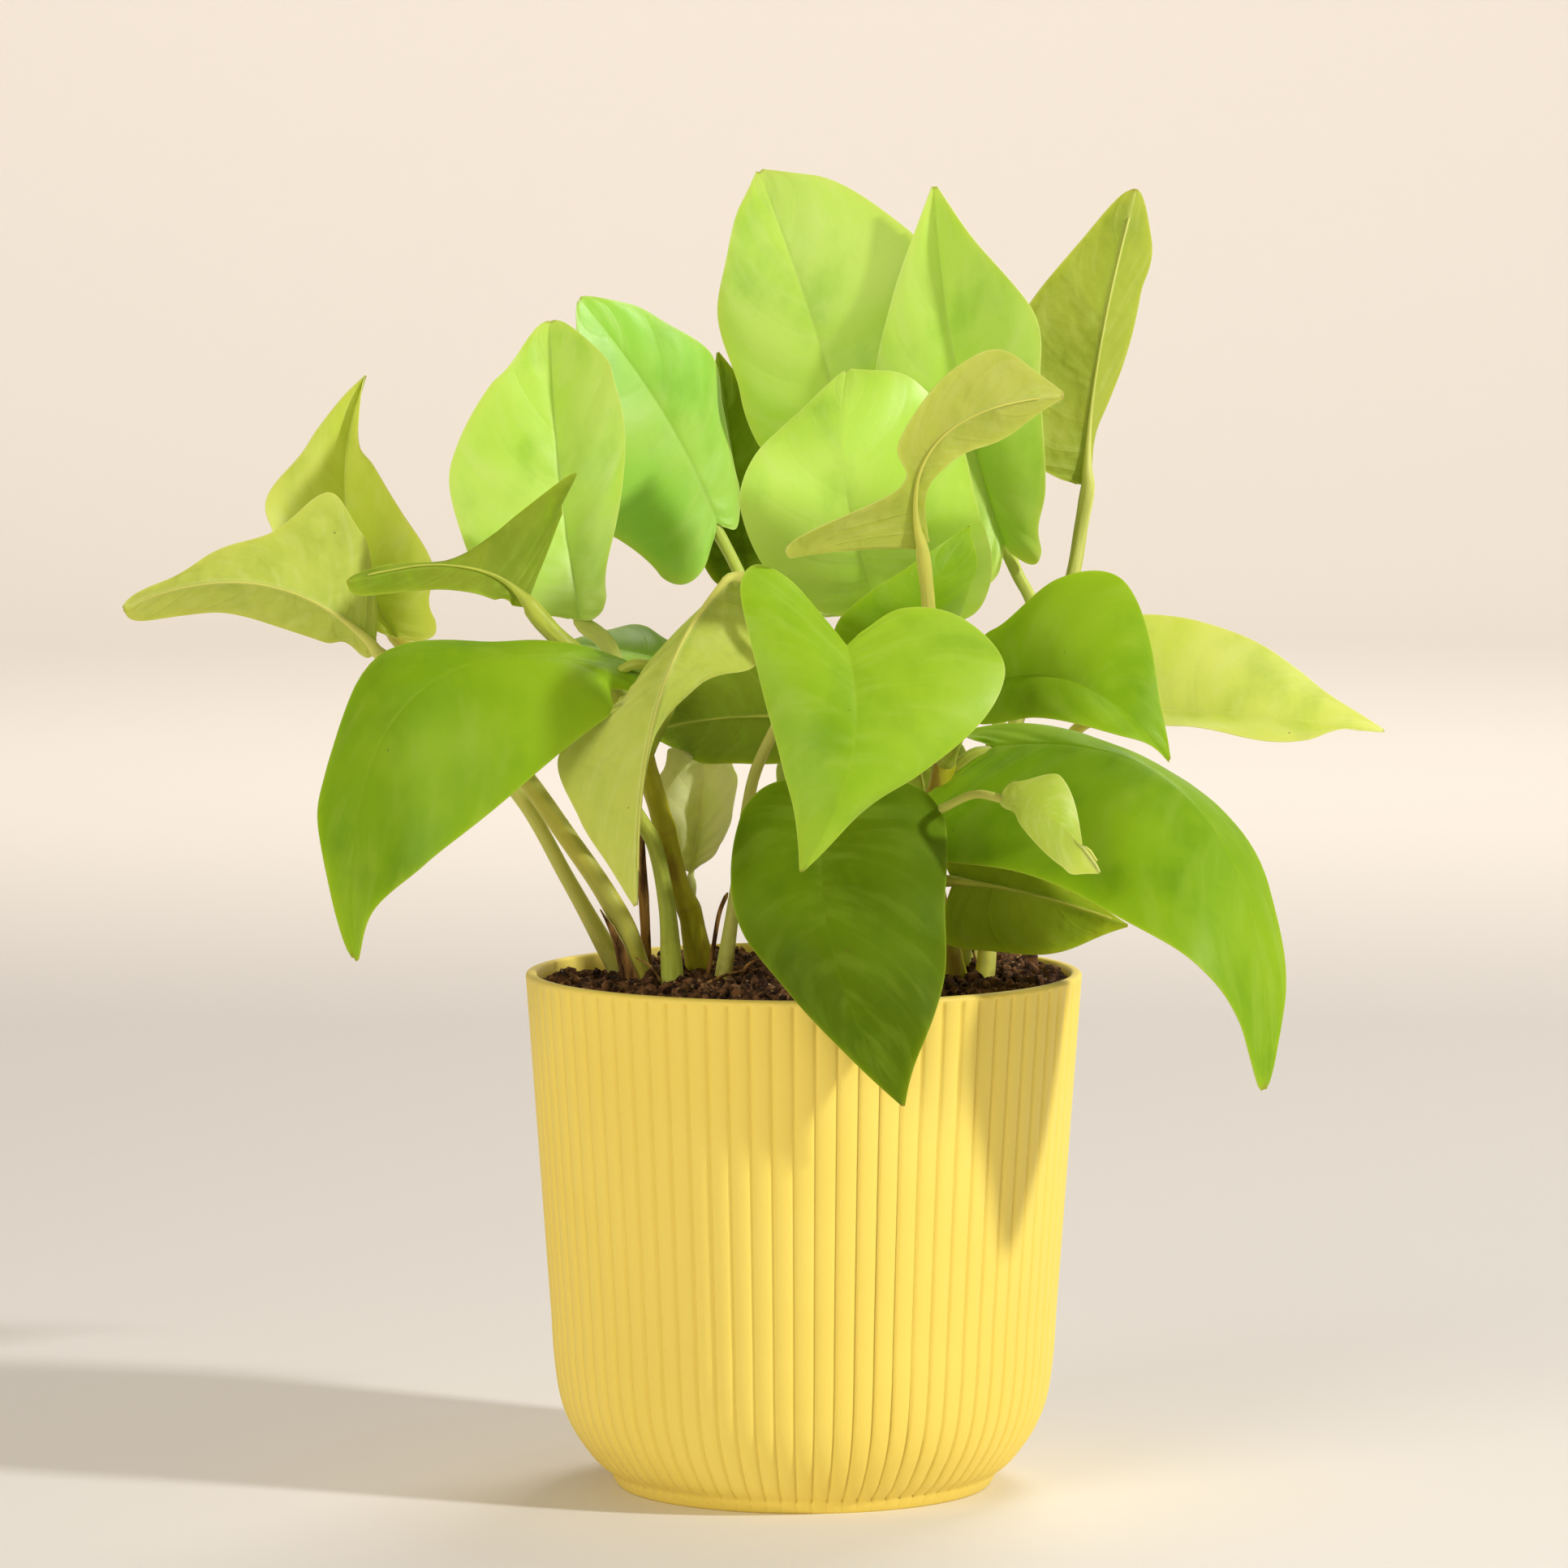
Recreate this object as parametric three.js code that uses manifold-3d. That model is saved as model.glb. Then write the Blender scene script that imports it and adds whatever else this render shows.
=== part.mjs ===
// A golden pothos in a ribbed yellow pot, in millimetres, +Z up.
// The origin is the middle of the pot's base, and the front is towards -Y.
import * as THREE from 'three';
import { mergeVertices } from 'three/addons/utils/BufferGeometryUtils.js';
import Module from 'manifold-3d';

const wasm = await Module();
wasm.setup();

// Pot sizes
const potHeight = 102;
const rimRadius = 55;
const footRadius = 37.2;
const wall = 2.2;
const floorThickness = 4;
const cavityHeights = [floorThickness, 8, 13, 20, 34];
const ribCount = 80;
const ribDepth = 0.35;
const footRibDepth = 0.2;
const cavitySegments = 64;
// A shallow ring sunk into the underside leaves a foot ring and a flat middle
const recessInner = 25;
const recessOuter = 33;
const recessDepth = 1;
const recessSegments = 48;

// The pot's outer wall, foot to lip: radius, height and how deep the grooves between ribs are
const potWall = [
  { radius: footRadius, height: 0, groove: footRibDepth },
  { radius: 38, height: 2, groove: footRibDepth },
  { radius: 38.6, height: 2.7, groove: ribDepth },
  { radius: 41, height: 4.7, groove: ribDepth },
  { radius: 43.2, height: 7.3, groove: ribDepth },
  { radius: 46, height: 11.5, groove: ribDepth },
  { radius: 48.2, height: 17, groove: ribDepth },
  { radius: 49.6, height: 26, groove: ribDepth },
  { radius: 50.1, height: 34, groove: ribDepth },
  { radius: 54.9, height: potHeight - 1.6, groove: ribDepth },
  { radius: rimRadius, height: potHeight - 0.6, groove: 0 },
  { radius: 54.5, height: potHeight, groove: 0 },
];
const lipStart = potWall.length - 3;

// Soil sizes
const soilLevel = 100;
const soilSegments = 32;
const soilRings = 4;
const fitGap = 0.35;
// Heaps and hollows in the soil: place, rise and spread
const soilRelief = [
  { x: -14, y: 8, rise: 2.5, spread: 15 },
  { x: 38, y: 18, rise: 2.5, spread: 12 },
  { x: -42, y: 24, rise: -5, spread: 11 },
  { x: 28, y: 42, rise: -4, spread: 9 },
];

// Plant sizes
const bladeThickness = 0.8;
const stalkSides = 6;
const stalkStep = 8;
const buriedHeight = 92;
const cellsPerHalf = 2;
const midribSink = 0.3;
const archRise = 0.06;

// A front view is read from here: the eye that looks at the pot from 1.5 m away
const eye = new THREE.Vector3(-4, -1500, 264);

// A place that shows at u across and v up in the front view, y behind the pot's middle
function seen([u, v, y]) {
  const reach = (y - eye.y) / -eye.y;
  return new THREE.Vector3(eye.x + (u - eye.x) * reach, y, eye.z + (v - eye.z) * reach);
}

// Half of a leaf's outline in rows from the notch to the tip. A row starts on the midrib at
// from, and meets the margin at along (0 base, 1 tip) and out (0 midrib, 1 widest).
const outline = [
  { from: 0, along: -0.06, out: 0.12 },
  { from: 0.05, along: -0.15, out: 0.42 },
  { from: 0.12, along: -0.13, out: 0.75 },
  { from: 0.22, along: 0.02, out: 0.97 },
  { from: 0.34, along: 0.22, out: 1 },
  { from: 0.5, along: 0.46, out: 0.86 },
  { from: 0.68, along: 0.68, out: 0.57 },
  { from: 0.86, along: 0.87, out: 0.24 },
  { from: 1, along: 1, out: 0.02 },
];
// The rows where a leaf's named points lie on its margin, from the lobe to near the tip
const anchorRows = {
  root: outline[3],
  side: outline[4],
  mid: outline[5],
  far: outline[6],
  last: outline[7],
};

// Colours and finish of the leaves and stems
const tones = {
  lime: '#b4dc32',
  bright: '#a9d83e',
  fresh: '#86cc40',
  green: '#6fa81e',
  deep: '#4f7d10',
  pale: '#a3ad46',
  stem: '#a3a63c',
  dry: '#5a4220',
};

// The vines rise from the soil, each a list of front-view places
const vines = {
  vine_left: {
    radius: 2.1,
    route: [[-21, 105.5, 2], [-22.5, 113.5, 1], [-25, 120, 0], [-28, 132, -4], [-31, 142, -8],
      [-34.5, 151, -14], [-37.5, 159, -20]],
  },
  vine_middle: {
    radius: 2.4,
    route: [[3, 103, 0], [5, 117.5, -5], [8, 133.5, -15], [11, 149.5, -25], [14, 160.5, -30]],
  },
  vine_right: {
    radius: 2.2,
    route: [[29, 102.5, 0], [27, 112.5, -2], [25, 121.5, -5], [25.5, 132, -12], [28, 144, -16]],
  },
  dry_stalk: {
    radius: 0.8,
    route: [[-31, 103, 0], [-31.5, 114.5, -1], [-32.5, 129.5, -2]],
    tone: 'dry',
  },
  thin_root: {
    radius: 0.7,
    route: [[-18, 106, -2], [-16.5, 114, -3], [-15, 117.5, -3]],
    tone: 'dry',
  },
};

// Each leaf: base, mid and tip of its midrib, and places on the margin of its halves A and B.
// A bow bends a half sideways. The stalk runs along route from the soil or a vine to the base.
const leaves = {
  leaf_left_low: {
    base: [-84.5, 166, -4], mid: [-107, 179.5, -14], tip: [-134, 173.5, -10],
    rootA: [-87, 188.5, -6], sideA: [-93.5, 196.5, -11], midA: [-105, 188.5, -13],
    farA: [-116.5, 184.5, -13], lastA: [-126, 179, -12],
    sideB: [-94.5, 167.5, -18], farB: [-115, 173, -18], lastB: [-126, 171.5, -14],
    upper: 'back', tone: 'pale', lobes: 0.6, stalk: 1.5, grows: 'soil',
    route: [[-39, 106.5, 8], [-46.5, 120, 6], [-56, 136.5, 3], [-69.5, 150.5, -1], [-78.5, 161, -4]],
  },
  leaf_left_tall: {
    base: [-80, 168, 6], mid: [-90, 193.5, 8], tip: [-86, 219.5, 14],
    sideA: [-105.5, 191, 10], farA: [-97, 206.5, 12],
    rootB: [-73, 172.5, 4], sideB: [-73, 181.5, 5], midB: [-77.5, 190.5, 8],
    farB: [-84.5, 201.5, 10], lastB: [-88, 209.5, 12],
    upper: 'front', tone: 'lime', lobes: 0.3, stalk: 2, grows: 'soil',
    route: [[-33, 101.5, -4], [-35.5, 110.5, -5], [-39.5, 118, -6], [-47, 129, -7], [-54, 139, -6],
      [-69, 157.5, 2]],
  },
  leaf_left_broad: {
    base: [-43, 173.5, -18], mid: [-48, 200.5, -10], tip: [-50, 230, -4],
    sideA: [-69.5, 196, -14], midA: [-68, 206, -11], farA: [-61, 217.5, -8],
    rootB: [-39, 177.5, -12], sideB: [-37, 190, -8], farB: [-38, 217.5, -2],
    upper: 'front', tone: 'bright', lobes: 0.15, stalk: 1.8, grows: 'vine_left',
    route: [[-36.5, 157.5, -18], [-37, 162, -20], [-39, 167, -19]],
  },
  leaf_left_folded: {
    base: [-54.5, 172.5, -32], mid: [-67, 181.5, -36], tip: [-89.5, 178, -38],
    rootA: [-48, 193.5, -30], sideA: [-45, 200.5, -28], midA: [-56, 192.5, -31],
    farA: [-65, 185, -34], lastA: [-77, 181, -36],
    sideB: [-58.5, 174, -40], farB: [-72, 178, -40], lastB: [-80, 177.5, -39],
    upper: 'back', tone: 'green', lobes: 0.4, stalk: 2, grows: 'vine_left',
    route: [[-35, 152.5, -15], [-39, 158.5, -25], [-44.5, 164.5, -30], [-49.5, 169, -32]],
  },
  leaf_left_drooping: {
    base: [-30.5, 160.5, -42], mid: [-77, 156, -50], tip: [-89, 104.5, -48],
    sideA: [-39, 152, -36], farA: [-72, 124, -54],
    sideB: [-58.5, 167, -38], midB: [-84.5, 163.5, -40], farB: [-94.5, 138, -42], lastB: [-94, 121, -46],
    upper: 'front', tone: 'green', lobes: 0.1, stalk: 1.6, grows: 'soil',
    route: [[-26, 101, -12], [-27, 114.5, -6], [-29.5, 127, -8], [-34, 135.5, -16], [-33, 146.5, -28],
      [-29.5, 154.5, -36]],
  },
  leaf_left_behind: {
    base: [-25, 163, 0], mid: [-43, 163.5, -4], tip: [-63, 168, -10],
    sideA: [-32, 170, 15], sideB: [-33.5, 156, -18],
    upper: 'front', tone: 'green', lobes: 0.6, stalk: 1.4, grows: 'vine_left',
    route: [[-31.5, 144.5, -9], [-28, 151, -4], [-25.5, 157.5, 0]],
  },
  leaf_centre_pale: {
    base: [-14, 179.5, -45], mid: [-29, 154.5, -55], tip: [-33, 115, -52],
    sideA: [-34.5, 156, -52], midA: [-48, 144.5, -51], farA: [-43.5, 132, -53],
    sideB: [-9, 163, -40], midB: [-21, 159, -46], farB: [-30.5, 144.5, -50],
    upper: 'back', tone: 'pale', lobes: 0.2, stalk: 1.5, grows: 'soil',
    route: [[-15, 107, -8], [-12.5, 124, -9], [-11, 135, -11], [-9.5, 141.5, -14],
      [-4.5, 152.5, -24], [0, 166, -42], [-4, 177.5, -50]],
  },
  leaf_centre_shaded: {
    base: [1.5, 152.5, -12], mid: [-17, 152, -4], tip: [-31, 149, 8],
    sideA: [-11, 165.5, -8], sideB: [-11, 143, -6], farA: [-24.5, 156, 3], farB: [-23.5, 144.5, 3],
    upper: 'back', tone: 'deep', lobes: 0.5, stalk: 1.4, grows: 'vine_middle',
    route: [[9, 138, -17], [6, 146, -13]],
  },
  leaf_front_heart: {
    base: [8.5, 166.5, -72], mid: [11, 144, -88], tip: [0, 120, -84],
    sideA: [-12.5, 171, -70], sideB: [39.5, 160.5, -68], farA: [-4, 141.5, -80], farB: [25.5, 142.5, -78],
    upper: 'front', tone: 'bright', lobes: 1, stalk: 1.6, grows: 'vine_middle',
    route: [[10.5, 145.5, -22], [10, 153, -40], [9.5, 161.5, -60]],
  },
  leaf_front_low: {
    base: [5, 137.5, -45], mid: [5.5, 107, -68], tip: [19.5, 75, -72],
    sideA: [-14.5, 120, -62], sideB: [28, 118.5, -56], farA: [-2.5, 96.5, -67], farB: [25.5, 92.5, -66],
    upper: 'front', tone: 'deep', lobes: 0.5, stalk: 1.5, grows: 'vine_middle',
    route: [[8, 133.5, -15], [6, 138.5, -28], [5, 140.5, -38]],
  },
  leaf_right_near: {
    base: [36, 159, -30], mid: [55, 158.5, -48], tip: [72, 143.5, -52],
    rootA: [38, 169.5, -31], sideA: [49.5, 179.5, -35], midA: [62.5, 179, -35], farA: [69, 165.5, -42],
    sideB: [43.5, 152, -42], farB: [63, 148.5, -50],
    upper: 'front', tone: 'green', lobes: 0.6, stalk: 1.5, grows: 'vine_right',
    route: [[27.5, 143, -16], [30, 148, -22], [33.5, 154.5, -27]],
  },
  leaf_right_lime: {
    base: [64, 154.5, 0], mid: [89, 152, 2], tip: [114.5, 149.5, 8],
    sideA: [74.5, 172.5, 6], midA: [88, 168, 7], farA: [97.5, 161, 7],
    sideB: [75, 150.5, -8], farB: [99, 147.5, 0],
    upper: 'front', tone: 'lime', lobes: 0.5, stalk: 1.4, grows: 'soil',
    route: [[36, 103, 3], [37.5, 117.5, 5], [42, 130.5, 7], [48.5, 141.5, 8], [53.5, 149.5, 8],
      [59, 152.5, 4]],
  },
  leaf_right_large: {
    base: [37.5, 146.5, -12], mid: [79, 133, -38], tip: [91.5, 78.5, -50],
    sideA: [37.5, 122.5, -32], farA: [76, 102.5, -52],
    sideB: [54.5, 149, -12], farB: [91.5, 118.5, -36], lastB: [95, 93, -44],
    upper: 'front', tone: 'green', lobes: 0.2, stalk: 1.7, grows: 'vine_right',
    route: [[25.5, 132.5, -12], [29, 140, -12], [33.5, 144.5, -12]],
  },
  leaf_right_small: {
    base: [39, 136, -55], mid: [49.5, 132, -60], tip: [58.5, 121.5, -62],
    sideA: [43.5, 130.5, -58], sideB: [50.5, 140.5, -56], farA: [52.5, 122, -61], farB: [55, 127, -60],
    upper: 'front', tone: 'bright', lobes: 0.4, stalk: 0.9, grows: 'vine_middle',
    route: [[9, 133.5, -16], [15, 132, -27], [22.5, 131.5, -34], [28, 133.5, -40], [34.5, 137, -51]],
  },
  leaf_right_under: {
    base: [29.5, 119.5, -13], mid: [45, 117, -13], tip: [64, 111, -16],
    sideA: [34.5, 106, -14], sideB: [35, 128, -8], farA: [53, 106.5, -15], farB: [53, 118.5, -12],
    upper: 'back', tone: 'deep', lobes: 0.3, stalk: 1.2, grows: 'vine_right',
    route: [[25, 121.5, -5], [27, 120, -10]],
  },
  leaf_top_centre: {
    base: [9.5, 204, 14], mid: [1.5, 230.5, 12], tip: [-8.5, 259.5, 20],
    sideA: [-12.5, 216.5, 16], midA: [-17, 231, 17], farA: [-15.5, 241.5, 18], lastA: [-11.5, 252, 19],
    sideB: [29, 221.5, 20], farB: [19, 250.5, 22], lastB: [4, 257.5, 21],
    upper: 'front', tone: 'bright', lobes: 0.6, stalk: 1.6, grows: 'soil',
    route: [[1.5, 103, 8], [6.5, 133.5, 2], [8, 156, -2], [9.5, 175, 2], [10, 191, 8]],
  },
  leaf_top_right: {
    base: [39.5, 186, -2], mid: [30, 220.5, -8], tip: [25.5, 256.5, 2],
    rootA: [33.5, 181, -2], sideA: [17, 204, 0], farA: [17.5, 234.5, 2],
    rootB: [46.5, 186.5, 3], sideB: [47.5, 197.5, 5], farB: [43.5, 234.5, 6],
    upper: 'front', tone: 'bright', lobes: 0.3, stalk: 1.4, grows: 'soil',
    route: [[31, 103, 8], [32, 117.5, 7], [34, 133.5, 8], [38.5, 151, 6], [43, 162.5, 4], [45, 174, 2],
      [42, 180.5, -1]],
  },
  leaf_centre_round: {
    base: [14, 175.5, -8], mid: [8, 199, -22], tip: [8.5, 220.5, -12],
    sideA: [-12.5, 193.5, -25], sideB: [35, 191, -20], farA: [-2.5, 212, -15], farB: [25.5, 215, -10],
    upper: 'front', tone: 'bright', lobes: 0.9, stalk: 1.5, grows: 'vine_middle',
    route: [[14, 160.5, -30], [15, 167, -20], [15, 172, -12]],
  },
  leaf_centre_turned: {
    base: [22, 182, -52], mid: [13, 188, -62], tip: [-3, 185, -68],
    rootA: [49.5, 215.5, -48], sideA: [48, 221, -50], midA: [25.5, 219, -54],
    farA: [19, 204, -58], lastA: [11, 189, -63], bowA: [-7, 3, -1],
    sideB: [17, 181.5, -58], farB: [8, 184, -64],
    upper: 'back', tone: 'pale', lobes: 0.2, stalk: 1.5, grows: 'vine_middle',
    route: [[12, 150.5, -26], [19, 156, -38], [24.5, 165.5, -46], [24.5, 173.5, -49]],
  },
  leaf_centre_tucked: {
    base: [21, 165.5, -30], mid: [25.5, 177.5, -38], tip: [32.5, 190, -30],
    sideA: [7, 171.5, -42], sideB: [32, 176, -28], farA: [21.5, 183, -38], farB: [33.5, 183, -29],
    upper: 'front', tone: 'green', lobes: 0.3, stalk: 1.2, grows: 'vine_middle',
    route: [[13, 155, -28], [17.5, 160, -30]],
  },
  leaf_far_right: {
    base: [55, 198, 18], mid: [57.5, 223, 20], tip: [65, 256, 24],
    sideA: [44.5, 210.5, 16], farA: [47, 236.5, 20],
    sideB: [58, 210, 24], farB: [66.5, 235.5, 26], lastB: [68.5, 247, 26],
    upper: 'back', tone: 'pale', lobes: 0.2, stalk: 1.6, grows: 'soil',
    route: [[33.5, 104, 16], [34.5, 120.5, 15], [36.5, 133.5, 14], [41, 148.5, 12], [44, 157.5, 12],
      [49.5, 169.5, 14], [53, 180.5, 16], [54.5, 189.5, 18]],
  },
  leaf_back_left: {
    base: [-17, 190.5, 16], mid: [-27.5, 212, 10], tip: [-44, 234.5, 4],
    rootA: [-28.5, 180.5, 10], sideA: [-36, 187, 8], farA: [-45.5, 204, 0],
    rootB: [-13.5, 199, 20], sideB: [-15.5, 212.5, 20], midB: [-18.5, 223.5, 17],
    farB: [-28, 230, 12], lastB: [-36.5, 234, 8],
    upper: 'front', tone: 'fresh', lobes: 0.7, stalk: 1.4, grows: 'soil',
    route: [[-6.5, 102.5, 8], [-2.5, 120.5, 9], [-1, 133.5, 10], [-2.5, 146.5, 12], [-7, 162.5, 15],
      [-12.5, 180, 18]],
  },
  leaf_back_dark: {
    base: [-11.5, 179, 32], mid: [-13.5, 200.5, 34], tip: [-17, 224, 38],
    sideA: [-20.5, 191, 34], sideB: [-1, 194.5, 36], farA: [-19, 210.5, 36], farB: [-6.5, 212, 38],
    upper: 'front', tone: 'deep', lobes: 0.4, stalk: 1.3, grows: 'soil',
    route: [[0, 104.5, 18], [1.5, 125.5, 20], [-0.5, 149.5, 24], [-7, 168, 30]],
  },
  leaf_young: {
    base: [-22.5, 123, 5], mid: [-20, 132.5, 5], tip: [-18, 142, 7],
    sideA: [-24.5, 133.5, 6], sideB: [-14, 132.5, 7],
    upper: 'front', tone: 'bright', lobes: 0.2, stalk: 0.8, grows: 'vine_left',
    route: [[-23, 114, 1], [-22, 119, 4]],
  },
  leaf_rear_high: {
    base: [3, 172, 55], mid: [-1, 183, 72], tip: [-5, 197.5, 80],
    sideA: [-9.5, 184.5, 62], sideB: [14.5, 184.5, 66],
    upper: 'back', tone: 'fresh', lobes: 0.8, stalk: 1.5, grows: 'soil',
    route: [[6.5, 103, 28], [5, 133.5, 34], [4.5, 156, 44]],
  },
  leaf_rear_right: {
    base: [19, 154.5, 45], mid: [22.5, 144.5, 75], tip: [25.5, 124, 92],
    sideA: [13.5, 141.5, 62], sideB: [33.5, 143, 66],
    upper: 'back', tone: 'green', lobes: 0.8, stalk: 1.5, grows: 'soil',
    route: [[16, 103, 26], [17.5, 133.5, 34], [18.5, 148, 40]],
  },
  leaf_rear_low: {
    base: [1.5, 149.5, 52], mid: [-1, 136.5, 82], tip: [-2.5, 117.5, 96],
    sideA: [-5.5, 139, 68], sideB: [11, 140, 70],
    upper: 'back', tone: 'green', lobes: 0.8, stalk: 1.4, grows: 'soil',
    route: [[2.5, 103, 32], [2, 125.5, 38], [2, 141.5, 45]],
  },
};

// A closed geometry as a solid that can be cut and joined
function toSolid(geometry) {
  const bare = geometry.clone();
  bare.deleteAttribute('normal');
  bare.deleteAttribute('uv');
  const merged = mergeVertices(bare, 1e-4);
  const places = merged.attributes.position.array;
  const kept = [];
  const corner = new THREE.Vector3();
  let volume = 0;
  for (let t = 0; t < merged.index.count; t += 3) {
    const [a, b, c] = [0, 1, 2].map((k) => merged.index.getX(t + k));
    if (a === b || b === c || c === a) continue;
    kept.push([a, b, c]);
    const [p, q, r] = [a, b, c].map((k) => new THREE.Vector3().fromArray(places, k * 3));
    volume += p.dot(corner.crossVectors(q, r));
  }
  const outward = volume < 0 ? kept.map(([a, b, c]) => [a, c, b]) : kept;
  const triVerts = new Uint32Array(outward.flat());
  const vertProperties = new Float32Array(places);
  return new wasm.Manifold(new wasm.Mesh({ numProp: 3, vertProperties, triVerts }));
}

// A solid back as a geometry
function toGeometry(solid) {
  const mesh = solid.getMesh();
  const geometry = new THREE.BufferGeometry();
  geometry.setAttribute('position', new THREE.BufferAttribute(new Float32Array(mesh.vertProperties), 3));
  geometry.setIndex(new THREE.BufferAttribute(new Uint32Array(mesh.triVerts), 1));
  geometry.computeVertexNormals();
  return geometry;
}

// A lathe round the vertical axis, from [radius, height] pairs
function turned(profile, segments) {
  const geometry = new THREE.LatheGeometry(profile.map(([r, z]) => new THREE.Vector2(r, z)), segments);
  return geometry.rotateX(Math.PI / 2);
}

function potRadiusAt(height) {
  const above = potWall.findIndex((ring) => ring.height >= height && ring.groove);
  const high = above < 0 ? lipStart : above;
  const [low, top] = [potWall[high - 1], potWall[high]];
  const share = (height - low.height) / (top.height - low.height);
  return low.radius + (top.radius - low.radius) * share;
}

// The hollow of the pot, shrunk by gap
function cavityProfile(gap, top) {
  const side = cavityHeights.map((z) => [potRadiusAt(z) - wall - gap, Math.max(z, floorThickness + gap)]);
  return [[0, floorThickness + gap], ...side, [potRadiusAt(top) - wall - gap, top]];
}

function makePot() {
  const profile = [[0, 0], ...potWall.map((ring) => [ring.radius, ring.height]), [0, potHeight]];
  const outer = turned(profile, ribCount * 2);
  const place = outer.attributes.position;
  for (let i = 0; i < place.count; i += 1) {
    const ring = potWall[(i % profile.length) - 1];
    const step = Math.floor(i / profile.length);
    if (!ring || step % 2 === 0) continue;
    const shrink = 1 - ring.groove / ring.radius;
    place.setX(i, place.getX(i) * shrink);
    place.setY(i, place.getY(i) * shrink);
  }
  const hollow = turned([...cavityProfile(0, potHeight + 1), [0, potHeight + 1]], cavitySegments);
  const [near, far] = [recessInner, recessOuter];
  const section = [[near, -1], [far, -1], [far, recessDepth], [near, recessDepth], [near, -1]];
  const recess = turned(section, recessSegments);
  return toSolid(outer).subtract(toSolid(hollow)).subtract(toSolid(recess));
}

function soilHeight(x, y) {
  let height = soilLevel;
  for (const heap of soilRelief) {
    const away = ((x - heap.x) ** 2 + (y - heap.y) ** 2) / heap.spread ** 2;
    height += heap.rise * Math.exp(-away);
  }
  return height;
}

function makeSoil(stems) {
  const side = cavityProfile(fitGap, soilLevel);
  const [edge] = side[side.length - 1];
  const top = [];
  for (let ring = soilRings - 1; ring >= 0; ring -= 1) {
    top.push([(edge * ring) / soilRings, soilLevel]);
  }
  const geometry = turned([...side, ...top], soilSegments);
  const place = geometry.attributes.position;
  for (let i = 0; i < place.count; i += 1) {
    if (place.getZ(i) < soilLevel - 1) continue;
    const height = soilHeight(place.getX(i), place.getY(i));
    const stretch = (potRadiusAt(height) - wall - fitGap) / edge;
    place.setXYZ(i, place.getX(i) * stretch, place.getY(i) * stretch, height);
  }
  let soil = toSolid(geometry);
  for (const stem of stems) soil = soil.subtract(stemSolid(stem, fitGap));
  return soil;
}

// A round stem along a curve. With a gap it is wider and longer all round, to cut clearance.
function stemSolid({ curve, radius }, gap = 0) {
  const sides = stalkSides;
  const wide = gap ? (radius + gap) / Math.cos(Math.PI / sides) : radius;
  const section = new THREE.Shape();
  for (let i = 0; i < sides; i += 1) {
    const angle = (2 * Math.PI * i) / sides;
    const [x, y] = [wide * Math.cos(angle), wide * Math.sin(angle)];
    if (i === 0) section.moveTo(x, y);
    else section.lineTo(x, y);
  }
  section.closePath();
  const places = curve.points.map((point) => point.clone());
  if (gap) {
    places.unshift(places[0].clone().sub(places[1]).setLength(gap).add(places[0]));
    const [before, last] = places.slice(-2);
    places.push(last.clone().sub(before).setLength(gap).add(last));
  }
  const path = new THREE.CatmullRomCurve3(places);
  const steps = Math.max(2, Math.round(curve.getLength() / stalkStep));
  return toSolid(new THREE.ExtrudeGeometry(section, { steps, bevelEnabled: false, extrudePath: path }));
}

// The route of a stem that stands in the soil starts straight below its first place
function buried(first) {
  return new THREE.Vector3(first.x, first.y, buriedHeight);
}

function vineStem({ route, radius }) {
  const places = route.map(seen);
  return { curve: new THREE.CatmullRomCurve3([buried(places[0]), ...places]), radius };
}

// The midrib of a leaf: a parabola through mid, drawn straight on behind the base
function midrib(leaf) {
  const [base, mid, tip] = [leaf.base, leaf.mid, leaf.tip].map(seen);
  const pull = mid.clone().multiplyScalar(2).addScaledVector(base, -0.5).addScaledVector(tip, -0.5);
  const curve = new THREE.QuadraticBezierCurve3(base, pull, tip);
  const start = pull.clone().sub(base).multiplyScalar(2);
  return (along) => {
    if (along < 0) return base.clone().addScaledVector(start, along);
    return curve.getPoint(Math.min(along, 1));
  };
}

// Which way the upper face of a leaf looks
function upperSide(leaf) {
  const across = seen(leaf.sideB).sub(seen(leaf.sideA));
  const along = seen(leaf.tip).sub(seen(leaf.base));
  const up = across.cross(along).normalize();
  const facesEye = up.dot(eye.clone().sub(seen(leaf.mid))) > 0;
  return facesEye === (leaf.upper === 'front') ? up : up.negate();
}

// The width of half a blade, eased from each given place to the next
function widthAt(anchors, along) {
  const next = anchors.findIndex((anchor) => anchor.along > along);
  if (next === 0) return anchors[0].width.clone();
  if (next < 0) return anchors[anchors.length - 1].width.clone();
  const [low, high] = [anchors[next - 1], anchors[next]];
  const share = THREE.MathUtils.smoothstep(along, low.along, high.along);
  return low.width.clone().lerp(high.width, share);
}

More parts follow.
